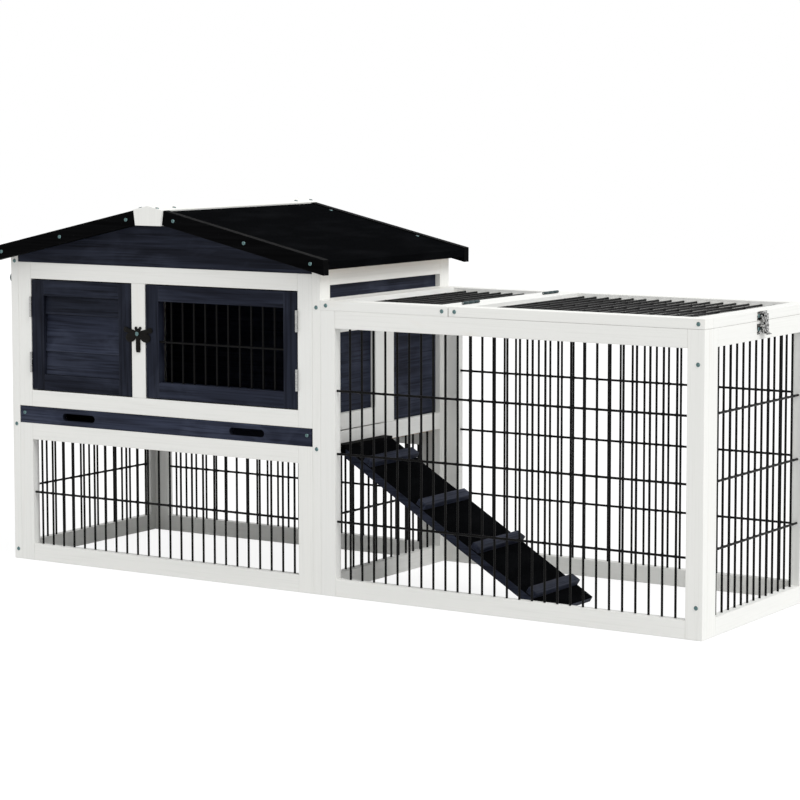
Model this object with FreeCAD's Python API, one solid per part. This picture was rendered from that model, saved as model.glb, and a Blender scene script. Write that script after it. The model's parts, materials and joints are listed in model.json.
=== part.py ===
# Two-tier wooden pet hutch: a gabled timber house over a mesh den, with a wire run at its right
import FreeCAD, Part
import math
import os

Vector = FreeCAD.Vector

# Driving dimensions, in millimetres and degrees
timber = 18.0
member = 32.0
panel_thickness = 6.5
panel_recess = 10.5
house_width = 737.0
house_depth = 440.0
lower_frame_height = 271.5
tray_slot_height = 33.5
upper_frame_height = 282.5
back_den_head = 45.5
eave_rise = 15.8

# Side walls
mid_rail_drop = 8.5
wall_top_rail = 37.3
wall_strip_height = 24.5
pop_opening_width = 181.0
pop_stile = 31.0

# Doors
left_opening_width = 250.5
centre_stile = 32.5
door_member = 30.0
door_gap = 2.0
plank_height = 72.5
plank_low_lap = 46.0
plank_recess = 5.0
plank_step = 6.0
plank_back = 4.0

# Butt hinges
hinge_length = 40.0
hinge_inset = 33.0
lid_hinge_length = 55.0
lid_hinge_inset = 50.0
leaf_thickness = 0.8
leaf_depth = 14.0
barrel_radius = 2.5
barrel_clearance = 0.3
pin_radius = 1.5
pin_fit = 0.05
knuckle_gap = 0.3

# Turn latch on the centre stile
latch_rise = 13.75
latch_thickness = 2.5
latch_standoff = 0.5
wing_reach = 34.7
wing_tip_radius = 5.3
wing_tip_rise = 7.0
wing_arm_half_height = 4.2
low_wing_out = 17.0
low_wing_down = 6.5
low_wing_half_length = 13.0
low_wing_half_height = 9.5
low_wing_lean = 20.0
feeler_top = 13.4
feeler_radius = 3.0
feeler_spread = 5.1
latch_body_top = 9.5
tail_width = 10.2
tail_drop = 35.6
tail_end_rise = 2.5
latch_pivot_radius = 2.0
latch_head_radius = 4.0
latch_head_height = 1.8

# Pull-out tray
tray_board = 12.0
tray_side_height = 26.0
tray_floor_thickness = 4.0
tray_end_gap = 2.0
tray_lift_gap = 0.3
tray_top_gap = 0.7
tray_side_inset = 4.6
tray_back_gap = 4.0
slot_length = 80.0
slot_height = 14.0
slot_end_distance = 107.0
slot_low_edge = 9.5
runner_width = 16.0
runner_height = 14.0

# Roof
roof_pitch = 12.57
eave_overhang = 28.0
gable_overhang = 29.0
roof_board = 13.2
felt_thickness = 2.5
barge_width = 27.5
barge_thickness = 17.0
barge_proud = 2.3
cap_half_width = 34.0
cap_thickness = 3.2
keystone_proud = 5.0
keystone_foot_half_width = 30.0
keystone_height = 36.5

# Run
run_length = 774.0
run_height = 522.5
fixed_top_length = 272.0
lid_slit = 2.0
lid_seat_gap = 0.3

# Wire mesh
wire_diameter = 4.2
mesh_edge = 8.0
weld_clearance = 0.05
wire_depth = 7.0
window_wire_depth = 4.4
top_wire_depth = 11.6
den_level_wire = 134.8
wall_level_wire = 140.0
run_level_wires = (137.3, 261.5, 376.8)
end_low_wire = 145.8
top_cross_wires = (128.0, 232.0, 336.0)

# First gap and pitch of the wires along each panel
den_front_wires = (13.9, 26.36)
den_back_wires = (19.4, 26.24)
left_wall_wires = (27.0, 26.13)
right_wall_wires = (12.9, 25.7)
window_wires = (25.1, 26.64)
run_front_wires = (25.8, 25.4)
run_back_wires = (26.1, 25.32)
run_end_wires = (21.3, 25.15)
fixed_top_wires = (25.5, 26.1)
lid_wires = (12.5, 26.2)

# Lid latch on the end of the run
latch_plate_width = 38.0
latch_plate_thickness = 1.2
latch_screw_inset = 4.6
catch_plate_height = 15.0
catch_ledge_width = 16.0
catch_ledge_proud = 5.0
catch_ledge_height = 3.0
base_plate_height = 18.0
base_drop = 4.5
ear_thickness = 1.5
ear_proud = 9.0
ear_height = 10.0
lever_width = 17.0
lever_thickness = 1.6
lever_pivot_proud = 6.0
lever_eye_radius = 3.0
lever_pivot_radius = 1.5
lever_hook_gap = 0.4
lever_curl_radius = 6.0
lever_curl_drop = 4.0

# Ramp
ramp_front = 50.0
ramp_width = 158.0
ramp_pitch = 30.9
ramp_thickness = 16.5
ramp_felt_thickness = 1.5
ramp_foot_height = 9.0
ramp_step = 5.5
ramp_hinge_gap = 0.4
ledge_depth = 20.0
ledge_height = 20.0
ledge_overlap = 9.5
cleat_width = 20.0
cleat_height = 12.0
cleat_first = 54.0
cleat_pitch = 134.0
cleat_margin = 30.0

# Screws and the wall staple
screw_head_radius = 3.8
screw_top_radius = 3.0
screw_head_height = 1.2
screw_shank_radius = 1.7
screw_fit = 0.05
cross_length = 4.0
cross_width = 0.9
cross_depth = 0.7
long_screw = 45.0
short_screw = 14.0
cap_screw = 9.0
staple_radius = 9.0
staple_wire_radius = 1.5
staple_leg = 9.0
staple_drop = 48.3
strip_screw_low = 19.0
strip_screw_mid = 5.0
strip_screw_upper = 17.5
strip_screw_top = 23.0
run_screw_low = 55.0
run_screw_drop = 58.5
run_stile_screw_inset = 12.0
top_screw_inset = 12.0
barge_screw_first = 60.5
barge_screw_middle = 227.5
barge_screw_last = 27.0
felt_screw_places = (91.0, 302.0)
felt_screw_inset = 9.5
cap_screw_side = 20.0
cap_screw_inset = 22.0
keystone_screw_inset = 4.5
tray_screw_height = 20.0

# Levels and faces worked out from the driving dimensions
tray_slot_top = lower_frame_height + tray_slot_height
front_top = tray_slot_top + upper_frame_height
eave_height = front_top + eave_rise
mid_rail_bottom = lower_frame_height - mid_rail_drop
mid_rail_top = mid_rail_bottom + member
top_rail_bottom = eave_height - wall_top_rail
upper_rail_top = top_rail_bottom - wall_strip_height
upper_rail_bottom = upper_rail_top - member
right_wall_x = house_width - timber
back_inner = house_depth - timber
run_end = house_width + run_length
top_height = run_height + timber
fixed_top_end = house_width + fixed_top_length
lid_start = fixed_top_end + lid_slit
run_end_inner = run_end - timber
barrel_offset = barrel_radius + barrel_clearance
ridge_x = house_width / 2
slope = math.radians(roof_pitch)
roof_depth = barge_proud + felt_thickness + roof_board
ridge_height = eave_height + ridge_x * math.tan(slope) + roof_depth / math.cos(slope)
slope_length = (ridge_x + eave_overhang) / math.cos(slope)
boards_front = barge_thickness - gable_overhang
boards_back = house_depth - boards_front
keystone_front = -gable_overhang - keystone_proud
keystone_back = house_depth - keystone_front
cap_top = barge_proud - cap_thickness
latch_y = house_depth / 2
staple_height = eave_height - staple_drop
lever_pivot_x = run_end + lever_pivot_proud
lever_pivot_z = run_height - base_drop - base_plate_height / 2 + lever_curl_drop / 2
lever_face = lever_pivot_x + lever_eye_radius - lever_thickness
lever_reach = lever_face + lever_thickness + lever_curl_radius
ledge_top = mid_rail_bottom + ledge_overlap
ledge_front = house_width + ledge_depth
ramp_slope = math.radians(ramp_pitch)
ramp_head_x = ledge_front + ramp_hinge_gap
ramp_head_z = ledge_top - ramp_step

# The origin is the middle of the footprint of the whole hutch, on the ground
origin_x = (ridge_x - slope_length * math.cos(slope) + lever_reach) / 2
origin_y = house_depth / 2

AXES = "XYZ"
PLANES = {"front": "XZY", "side": "YZX", "top": "YXZ", "top mesh": "XYZ"}
LEFT, RIGHT = -1, 1
QUARTER_TURN, HALF_TURN = 90, 180
HINGE_KNUCKLES = 3
X_AXIS, Y_AXIS, Z_AXIS = Vector(1, 0, 0), Vector(0, 1, 0), Vector(0, 0, 1)
nodes = {}
screws = []


# Building blocks
def slab(plane, width, height, depth):
    """Box given by its spans across, up and through a panel that lies in the named plane."""
    low = [0.0, 0.0, 0.0]
    size = [0.0, 0.0, 0.0]
    for axis, span in zip(PLANES[plane], (width, height, depth)):
        low[AXES.index(axis)] = span[0]
        size[AXES.index(axis)] = span[1] - span[0]
    return Part.makeBox(*size, Vector(*low))


def open_frame(plane, width, height, depth, edge=member, head=None):
    """Two stiles the full height of the frame, with two rails between them; the head rail may be wider."""
    inner = (width[0] + edge, width[1] - edge)
    head_edge = edge if head is None else head
    return [
        slab(plane, (width[0], inner[0]), height, depth),
        slab(plane, (inner[1], width[1]), height, depth),
        slab(plane, inner, (height[0], height[0] + edge), depth),
        slab(plane, inner, (height[1] - head_edge, height[1]), depth),
    ]


def inset(span, edge=member):
    """The span that is left between two members of a frame."""
    return span[0] + edge, span[1] - edge


def rod(start, end, radius):
    """Round bar between two points."""
    line = Vector(*end) - Vector(*start)
    return Part.makeCylinder(radius, line.Length, Vector(*start), line)


def spot_on(plane, across, up, through):
    """Point from its places across, up and through a panel."""
    point = [0.0, 0.0, 0.0]
    for axis, value in zip(PLANES[plane], (across, up, through)):
        point[AXES.index(axis)] = value
    return point


def wire_mesh(plane, width, height, depth, side, uprights, levels):
    """Level wires across an opening, with upright wires lying against the side named by a sign."""
    behind = depth + side * (wire_diameter + weld_clearance)
    radius = wire_diameter / 2
    wires = []
    for across in uprights:
        foot = spot_on(plane, across, height[0], behind)
        head = spot_on(plane, across, height[1], behind)
        wires.append(rod(foot, head, radius))
    for up in levels:
        left = spot_on(plane, width[0], up, depth)
        right = spot_on(plane, width[1], up, depth)
        wires.append(rod(left, right, radius))
    return wires


def wire_places(span, spacing):
    """Wire places across an opening, from the first gap on at one pitch, clear of the member at its end."""
    first, pitch = spacing
    count = int((span[1] - span[0] - first - mesh_edge) / pitch) + 1
    return [span[0] + first + pitch * number for number in range(count)]


def prism(points, y_span):
    """Solid with a front-view outline of (x, z) points, carried through a span of depth."""
    corners = [Vector(x, y_span[0], z) for x, z in points]
    face = Part.Face(Part.makePolygon(corners + corners[:1]))
    return face.extrude(Vector(0, y_span[1] - y_span[0], 0))


def united(first, *others):
    """One solid from pieces that overlap."""
    return first.fuse(list(others)).removeSplitter().Solids[0]


def add_screw(group, x, y, z, outward, length):
    """Note a screw whose head rests on a face at a point, with the face's outward direction."""
    screws.append((group, Vector(x, y, z), outward, length))


# Roof geometry
def under_roof(x):
    """Height of the roof boards' underside above a point of the house."""
    return eave_height + (ridge_x - abs(x - ridge_x)) * math.tan(slope)


def roof_point(along, below, side):
    """Front-view point at a distance down one slope and a depth under the barge battens' top line."""
    x = ridge_x + side * (along * math.cos(slope) - below * math.sin(slope))
    z = ridge_height - along * math.sin(slope) - below * math.cos(slope)
    return x, z


def roof_layer(side, top, bottom, end, y_span, lean=0.0):
    """Layer of one roof slope, cut upright at the ridge; its lower end is square, or leans by a tangent."""
    upright = math.tan(slope)
    outline = [(top * upright, top), (end + top * lean, top)]
    outline += [(end + bottom * lean, bottom), (bottom * upright, bottom)]
    return prism([roof_point(along, below, side) for along, below in outline], y_span)


def wall_piece(x_span, y_span, bottom):
    """Upright wall member whose top is cut to the slope of the roof."""
    low, high = x_span
    outline = [(low, bottom), (high, bottom), (high, under_roof(high)), (low, under_roof(low))]
    return prism(outline, y_span)


# House front and back
FRONT_X = (timber, right_wall_x)
FRONT_Y = (0.0, timber)
BACK_Y = (back_inner, house_depth)
DEN_Z = (0.0, lower_frame_height)
ROOM_Z = (tray_slot_top, front_top)
OPENING_Z = inset(ROOM_Z)
LEFT_OPENING = (timber + member, timber + member + left_opening_width)
RIGHT_OPENING = (LEFT_OPENING[1] + centre_stile, right_wall_x - member)
BACK_ROOM_Z = (lower_frame_height, front_top)


def house_front_and_back():
    """Mesh frames of the den, the frame around the doors, and the closed back of the room."""
    den_x = inset(FRONT_X)
    for name, y_span, depth, inward, head, spacing in (
        ("front", FRONT_Y, wire_depth, 1, member, den_front_wires),
        ("back", BACK_Y, house_depth - wire_depth, -1, back_den_head, den_back_wires),
    ):
        nodes[name + "_lower_frame"] = open_frame("front", FRONT_X, DEN_Z, y_span, member, head)
        den_z = (DEN_Z[0] + member, DEN_Z[1] - head)
        places = wire_places(den_x, spacing)
        nodes[name + "_lower_mesh"] = wire_mesh(
            "front", den_x, den_z, depth, inward, places, [den_level_wire]
        )
    stile = slab("front", (LEFT_OPENING[1], RIGHT_OPENING[0]), OPENING_Z, FRONT_Y)
    nodes["front_upper_frame"] = open_frame("front", FRONT_X, ROOM_Z, FRONT_Y) + [stile]
    nodes["back_upper_frame"] = open_frame("front", FRONT_X, BACK_ROOM_Z, BACK_Y)
    back_panel_y = (house_depth - panel_recess - panel_thickness, house_depth - panel_recess)
    nodes["back_upper_panel"] = [slab("front", den_x, inset(BACK_ROOM_Z), back_panel_y)]


# Side walls
LEFT_X = (0.0, timber)
RIGHT_X = (right_wall_x, house_width)
WALL_Y = (0.0, house_depth)
BAY_Y = inset(WALL_Y)
POP_OPENING_Y = (member, member + pop_opening_width)
POP_OPENING_Z = (mid_rail_top, upper_rail_bottom)
LEFT_PANEL_X = (panel_recess, panel_recess + panel_thickness)
RIGHT_PANEL_X = (house_width - panel_recess - panel_thickness, house_width - panel_recess)


def wall_frame(x_span):
    """Stiles, top rail, middle rail and bottom rail that both side walls have."""
    return [
        wall_piece(x_span, (0.0, member), 0.0),
        wall_piece(x_span, (house_depth - member, house_depth), 0.0),
        wall_piece(x_span, BAY_Y, top_rail_bottom),
        slab("side", BAY_Y, (mid_rail_bottom, mid_rail_top), x_span),
        slab("side", BAY_Y, (0.0, member), x_span),
    ]


def side_walls():
    """Left wall with one panel, and right wall with a doorway, two panels and two more members."""
    nodes["left_wall_frame"] = wall_frame(LEFT_X)
    nodes["left_wall_panel"] = [slab("side", BAY_Y, (mid_rail_top, top_rail_bottom), LEFT_PANEL_X)]
    post_y = (POP_OPENING_Y[1], POP_OPENING_Y[1] + pop_stile)
    nodes["right_wall_frame"] = wall_frame(RIGHT_X) + [
        slab("side", BAY_Y, (upper_rail_bottom, upper_rail_top), RIGHT_X),
        slab("side", post_y, POP_OPENING_Z, RIGHT_X),
    ]
    nodes["right_wall_panels"] = [
        slab("side", BAY_Y, (upper_rail_top, top_rail_bottom), RIGHT_PANEL_X),
        slab("side", (post_y[1], BAY_Y[1]), POP_OPENING_Z, RIGHT_PANEL_X),
    ]
    mesh_z = (member, mid_rail_bottom)
    nodes["side_wall_meshes"] = []
    for depth, inward, spacing in (
        (wire_depth, 1, left_wall_wires),
        (house_width - wire_depth, -1, right_wall_wires),
    ):
        places = wire_places(BAY_Y, spacing)
        nodes["side_wall_meshes"] += wire_mesh(
            "side", BAY_Y, mesh_z, depth, inward, places, [wall_level_wire]
        )
    mid_height = mid_rail_bottom + strip_screw_mid
    left_heights = (strip_screw_low, mid_height, top_rail_bottom + strip_screw_top)
    right_heights = (mid_height, upper_rail_bottom + strip_screw_upper)
    for x, heights in ((timber / 2, left_heights), (house_width - timber / 2, right_heights)):
        for height in heights:
            add_screw("frame_screws", x, 0.0, height, -Y_AXIS, long_screw)
            add_screw("frame_screws", x, house_depth, height, Y_AXIS, long_screw)


# Roof
def roof():
    """Gables, boards, felt, barge battens, keystones and ridge cap."""
    gable = [(timber, front_top), (right_wall_x, front_top), (right_wall_x, under_roof(right_wall_x))]
    gable += [(ridge_x, under_roof(ridge_x)), (timber, under_roof(timber))]
    nodes["gable_boards"] = [prism(gable, FRONT_Y), prism(gable, BACK_Y)]
    board_y = (boards_front, boards_back)
    felt_bottom = barge_proud + felt_thickness
    felts = []
    for name, side in (("left", LEFT), ("right", RIGHT)):
        nodes[name + "_roof_board"] = [roof_layer(side, felt_bottom, roof_depth, slope_length, board_y)]
        felts.append(roof_layer(side, barge_proud, felt_bottom, slope_length, board_y))
    nodes["roof_felts"] = felts
    shoulder = cap_half_width / math.cos(slope) + cap_top * math.tan(slope)
    foot_z = ridge_height - keystone_height
    apex = roof_point(cap_top * math.tan(slope), cap_top, RIGHT)
    keystone = [apex, roof_point(shoulder, cap_top, RIGHT), (ridge_x + keystone_foot_half_width, foot_z)]
    keystone += [(ridge_x - keystone_foot_half_width, foot_z), roof_point(shoulder, cap_top, LEFT)]
    front_keystone = prism(keystone, (keystone_front, boards_front))
    back_keystone = prism(keystone, (boards_back, keystone_back))
    nodes["ridge_keystones"] = [front_keystone, back_keystone]
    sides = (LEFT, RIGHT)
    nodes["ridge_cap"] = [roof_layer(side, cap_top, barge_proud, shoulder, board_y) for side in sides]
    battens = []
    for block, y_span in (
        (front_keystone, (-gable_overhang, boards_front)),
        (back_keystone, (boards_back, house_depth + gable_overhang)),
    ):
        for side in (LEFT, RIGHT):
            batten = roof_layer(side, 0.0, barge_width, slope_length, y_span, math.tan(slope))
            battens.append(batten.cut(block).Solids[0])
    nodes["barge_battens"] = battens
    roof_screws()


def roof_screws():
    """Screws in the barge battens, through the felt near the back edge, and along the ridge."""
    for side in (LEFT, RIGHT):
        upward = Vector(side * math.sin(slope), 0, math.cos(slope))
        for along in (barge_screw_first, barge_screw_middle, slope_length - barge_screw_last):
            x, z = roof_point(along, barge_width / 2, side)
            add_screw("roof_screws", x, -gable_overhang, z, -Y_AXIS, short_screw)
            add_screw("roof_screws", x, house_depth + gable_overhang, z, Y_AXIS, short_screw)
        for along in felt_screw_places:
            x, z = roof_point(along, barge_proud, side)
            add_screw("roof_screws", x, boards_back - felt_screw_inset, z, upward, short_screw)
        x, z = roof_point(cap_screw_side, cap_top, side)
        for y in (cap_screw_inset, house_depth - cap_screw_inset):
            add_screw("roof_screws", x, y, z, upward, cap_screw)
        for y in (keystone_front + keystone_screw_inset, keystone_back - keystone_screw_inset):
            add_screw("roof_screws", x, y, z, upward, short_screw)


# Hinges
def hinge_leaf(length, side, knuckles):
    """Leaf in local axes: across the gap, out of the face, along the pin, with its own knuckles."""
    faces = sorted((side * door_gap / 2, side * (door_gap / 2 - leaf_thickness)))
    width = faces[1] - faces[0]
    leaf = Part.makeBox(width, leaf_depth, length, Vector(faces[0], -leaf_depth, -length / 2))
    axis_point = Vector(0, barrel_offset, 0)
    rings = []
    for low, high in knuckles:
        rings.append(Part.makeBox(width, barrel_offset, high - low, Vector(faces[0], 0, low)))
        rings.append(Part.makeCylinder(barrel_radius, high - low, axis_point + Vector(0, 0, low)))
    bore = Part.makeCylinder(pin_radius + pin_fit, length, axis_point - Vector(0, 0, length / 2))
    return united(leaf, *rings).cut(bore).Solids[0]


def butt_hinge(length):
    """Fixed leaf with the end knuckles, moving leaf with the middle knuckle, and the pin."""
    inner = length / HINGE_KNUCKLES / 2
    half_gap = knuckle_gap / 2
    ends = [(-length / 2, -inner - half_gap), (inner + half_gap, length / 2)]
    middle = [(-inner + half_gap, inner - half_gap)]
    pin = Part.makeCylinder(pin_radius, length, Vector(0, barrel_offset, -length / 2))
    return hinge_leaf(length, LEFT, ends), hinge_leaf(length, RIGHT, middle), pin


def place_hinge(pieces, centre, across, outward):
    """Copies of a hinge's pieces at a joint: across points from the fixed to the moving side."""
    turn = FreeCAD.Rotation(across, outward, across.cross(outward), "XYZ")
    placed = []
    for piece in pieces:
        moved = piece.copy()
        moved.Placement = FreeCAD.Placement(Vector(*centre), turn)
        placed.append(moved)
    return placed


def hang(name, pieces, centres, across, outward, fixed_node):
    """Hang a door on hinges: its leaves get a node, the rest joins the fixed leaves and pins."""
    nodes[name + "_hinge_leaves"] = []
    for centre in centres:
        fixed, moving, pin = place_hinge(pieces, centre, across, outward)
        nodes.setdefault(fixed_node, []).append(fixed)
        nodes.setdefault("hinge_pins", []).append(pin)
        nodes[name + "_hinge_leaves"].append(moving)


# House doors
def front_door(name, opening):
    """Door frame that fits an opening of the front with a gap all round."""
    x_span = inset(opening, door_gap)
    z_span = inset(OPENING_Z, door_gap)
    nodes[name + "_frame"] = open_frame("front", x_span, z_span, FRONT_Y, door_member)
    return inset(x_span, door_member), inset(z_span, door_member), z_span


def hinge_heights(z_span):
    """Centres of the lower and upper hinge of a door."""
    distance = hinge_inset + hinge_length / 2
    return z_span[0] + distance, z_span[1] - distance


def doors():
    """Planked left door, meshed right door, and the pop door into the run."""
    hinge = butt_hinge(hinge_length)
    field_x, field_z, z_span = front_door("left_door", LEFT_OPENING)
    laps = [field_z[0], field_z[0] + plank_low_lap]
    while laps[-1] + plank_height < field_z[1]:
        laps.append(laps[-1] + plank_height)
    laps.append(field_z[1])
    nodes["left_door_planks"] = [plank(field_x, low, high) for low, high in zip(laps, laps[1:])]
    hinge_x = LEFT_OPENING[0] + door_gap / 2
    centres = [(hinge_x, 0.0, height) for height in hinge_heights(z_span)]
    hang("left_door", hinge, centres, X_AXIS, -Y_AXIS, "door_hinge_fixed_leaves")

    window_x, window_z, z_span = front_door("right_door", RIGHT_OPENING)
    middle = (window_z[0] + window_z[1]) / 2
    places = wire_places(window_x, window_wires)
    nodes["right_door_mesh"] = wire_mesh("front", window_x, window_z, window_wire_depth, 1, places, [middle])
    hinge_x = RIGHT_OPENING[1] - door_gap / 2
    centres = [(hinge_x, 0.0, height) for height in hinge_heights(z_span)]
    hang("right_door", hinge, centres, -X_AXIS, -Y_AXIS, "door_hinge_fixed_leaves")

    y_span = inset(POP_OPENING_Y, door_gap)
    z_span = inset(POP_OPENING_Z, door_gap)
    nodes["pop_door_frame"] = open_frame("side", y_span, z_span, RIGHT_X, door_member)
    panel_y = inset(y_span, door_member)
    nodes["pop_door_panel"] = [slab("side", panel_y, inset(z_span, door_member), RIGHT_PANEL_X)]
    hinge_y = POP_OPENING_Y[0] + door_gap / 2
    centres = [(house_width, hinge_y, height) for height in hinge_heights(z_span)]
    hang("pop_door", hinge, centres, Y_AXIS, X_AXIS, "door_hinge_fixed_leaves")


def plank(x_span, low, high):
    """Level plank whose face leans out towards its lower edge, so that each laps over the next."""
    lean = plank_step * (high - low) / plank_height
    back = timber - plank_back
    section = [(plank_recess, low), (back, low), (back, high), (plank_recess + lean, high)]
    corners = [Vector(x_span[0], y, z) for y, z in section]
    face = Part.Face(Part.makePolygon(corners + corners[:1]))
    return face.extrude(Vector(x_span[1] - x_span[0], 0, 0))


# Turn latch
def oval(x, z, half_width, half_height, y_span, lean=0.0):
    """Upright oval plate, centred on a point of the front and leaning by an angle."""
    wide = half_width >= half_height
    major, minor = max(half_width, half_height), min(half_width, half_height)
    ellipse = Part.Ellipse(Vector(), major, minor).toShape()
    plate = Part.Face(Part.Wire(ellipse)).extrude(Vector(0, 0, y_span[1] - y_span[0]))
    plate.rotate(Vector(), Z_AXIS, lean if wide else lean + QUARTER_TURN)
    plate.rotate(Vector(), X_AXIS, QUARTER_TURN)
    plate.translate(Vector(x, y_span[1], z))
    return plate


def turn_latch():
    """Butterfly-shaped turn button on a screw in the centre stile."""
    x = (LEFT_OPENING[1] + RIGHT_OPENING[0]) / 2
    z = (OPENING_Z[0] + OPENING_Z[1]) / 2 + latch_rise
    y_span = (-latch_standoff - latch_thickness, -latch_standoff)
    half_tail = tail_width / 2
    tail_low = z - tail_drop + tail_end_rise
    body = slab("front", (x - half_tail, x + half_tail), (tail_low, z + latch_body_top), y_span)
    pieces = [oval(x, tail_low, half_tail, tail_end_rise, y_span)]
    tip_out = wing_reach - wing_tip_radius
    arm = math.hypot(tip_out, wing_tip_rise) / 2
    arm_lean = math.degrees(math.atan2(wing_tip_rise, tip_out))
    for side in (LEFT, RIGHT):
        arm_x, arm_z = x + side * tip_out / 2, z + wing_tip_rise / 2
        pieces.append(oval(arm_x, arm_z, arm, wing_arm_half_height, y_span, side * arm_lean))
        tip_x, tip_z = x + side * tip_out, z + wing_tip_rise
        pieces.append(oval(tip_x, tip_z, wing_tip_radius, wing_tip_radius, y_span))
        low_x, low_z = x + side * low_wing_out, z - low_wing_down
        low_halves = (low_wing_half_length, low_wing_half_height)
        pieces.append(oval(low_x, low_z, *low_halves, y_span, -side * low_wing_lean))
        feeler_z = z + feeler_top - feeler_radius
        pieces.append(oval(x + side * feeler_spread, feeler_z, feeler_radius, feeler_radius, y_span))
    bore = rod((x, y_span[0], z), (x, 0.0, z), latch_pivot_radius + pin_fit)
    nodes["turn_latch"] = [united(body, *pieces).cut(bore).Solids[0]]
    head_back = y_span[0] - latch_standoff
    shank = rod((x, head_back, z), (x, short_screw, z), latch_pivot_radius)
    head = rod((x, head_back - latch_head_height, z), (x, head_back, z), latch_head_radius)
    slot = slab(
        "front",
        (x - latch_head_radius, x + latch_head_radius),
        (z - cross_width / 2, z + cross_width / 2),
        (head_back - latch_head_height, head_back - latch_head_height + cross_depth),
    )
    nodes["turn_latch_screw"] = [united(head, shank).cut(slot).Solids[0]]
    hole = rod((x, 0.0, z), (x, short_screw, z), latch_pivot_radius + screw_fit)
    nodes["front_upper_frame"] = [piece.cut(hole).Solids[0] for piece in nodes["front_upper_frame"]]


# Tray
def tray():
    """Tray with a slotted front board, three low sides and a floor, on runners along the walls."""
    bottom = lower_frame_height + tray_lift_gap
    x_span = inset(FRONT_X, tray_end_gap)
    board = slab("front", x_span, (bottom, tray_slot_top - tray_top_gap), (0.0, tray_board))
    slot_z = bottom + slot_low_edge + slot_height / 2
    for start in (x_span[0] + slot_end_distance, x_span[1] - slot_end_distance - slot_length):
        board = board.cut(finger_slot(start, slot_z)).Solids[0]
    nodes["tray_front"] = [board]
    side_x = inset(x_span, tray_side_inset)
    floor_x = inset(side_x, tray_board)
    back = back_inner - tray_back_gap
    side_z = (bottom, bottom + tray_side_height)
    nodes["tray_sides"] = [
        slab("front", (side_x[0], floor_x[0]), side_z, (tray_board, back)),
        slab("front", (floor_x[1], side_x[1]), side_z, (tray_board, back)),
        slab("front", floor_x, side_z, (back - tray_board, back)),
    ]
    floor_z = (bottom, bottom + tray_floor_thickness)
    nodes["tray_floor"] = [slab("front", floor_x, floor_z, (tray_board, back - tray_board))]
    runner_z = (lower_frame_height - runner_height, lower_frame_height)
    nodes["tray_runners"] = [
        slab("front", (timber, timber + runner_width), runner_z, (timber, back_inner)),
        slab("front", (right_wall_x - runner_width, right_wall_x), runner_z, (timber, back_inner)),
    ]
    tray_screw_z = bottom + tray_screw_height
    for x in ((side_x[0] + floor_x[0]) / 2, (side_x[1] + floor_x[1]) / 2):
        add_screw("tray_screws", x, 0.0, tray_screw_z, -Y_AXIS, long_screw)


def finger_slot(start, middle_z):
    """Cutter for a level slot with round ends through the tray's front board."""
    radius = slot_height / 2
    left, right = start + radius, start + slot_length - radius
    cutter = slab("front", (left, right), (middle_z - radius, middle_z + radius), (0.0, tray_board))
    ends = [rod((x, 0.0, middle_z), (x, tray_board, middle_z), radius) for x in (left, right)]
    return united(cutter, *ends)


# Run
RUN_X = (house_width, run_end)
RUN_Z = (0.0, run_height)
END_Y = (timber, back_inner)
TOP_Z = (run_height, top_height)


def run():
    """Front, back and end mesh panels, the fixed top frame and the hinged lid."""
    opening_x = inset(RUN_X)
    opening_z = inset(RUN_Z)
    for name, y_span, depth, inward, spacing in (
        ("run_front", FRONT_Y, wire_depth, 1, run_front_wires),
        ("run_back", BACK_Y, house_depth - wire_depth, -1, run_back_wires),
    ):
        nodes[name + "_frame"] = open_frame("front", RUN_X, RUN_Z, y_span)
        places = wire_places(opening_x, spacing)
        nodes[name + "_mesh"] = wire_mesh(
            "front", opening_x, opening_z, depth, inward, places, run_level_wires
        )
    end_x = (run_end_inner, run_end)
    nodes["run_end_frame"] = open_frame("side", END_Y, RUN_Z, end_x)
    opening_y = inset(END_Y)
    places = wire_places(opening_y, run_end_wires)
    depth = run_end - wire_depth
    end_levels = (end_low_wire,) + run_level_wires[1:]
    nodes["run_end_mesh"] = wire_mesh("side", opening_y, opening_z, depth, -1, places, end_levels)

    lid_z = (run_height + lid_seat_gap, top_height)
    for name, x_span, z_span, group, spacing in (
        ("run_fixed_top", (house_width, fixed_top_end), TOP_Z, "frame_screws", fixed_top_wires),
        ("lid", (lid_start, run_end), lid_z, "lid_screws", lid_wires),
    ):
        nodes[name + "_frame"] = open_frame("top", WALL_Y, x_span, z_span)
        wire_x = inset(x_span)
        wire_z = top_height - top_wire_depth
        places = wire_places(wire_x, spacing)
        nodes[name + "_mesh"] = wire_mesh("top mesh", wire_x, BAY_Y, wire_z, 1, places, top_cross_wires)
        screw_z = (z_span[0] + z_span[1]) / 2
        for x in inset(x_span, top_screw_inset):
            add_screw(group, x, 0.0, screw_z, -Y_AXIS, long_screw)
            add_screw(group, x, house_depth, screw_z, Y_AXIS, long_screw)
    stile_x = run_end - run_stile_screw_inset
    for height in (run_screw_low, run_height - run_screw_drop):
        add_screw("frame_screws", stile_x, 0.0, height, -Y_AXIS, long_screw)
        add_screw("frame_screws", stile_x, house_depth, height, Y_AXIS, long_screw)
    distance = lid_hinge_inset + lid_hinge_length / 2
    hinge_x = fixed_top_end + lid_slit / 2
    centres = [(hinge_x, y, top_height) for y in inset(WALL_Y, distance)]
    hang("lid", butt_hinge(lid_hinge_length), centres, X_AXIS, Z_AXIS, "lid_hinge_fixed_leaves")


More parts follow.
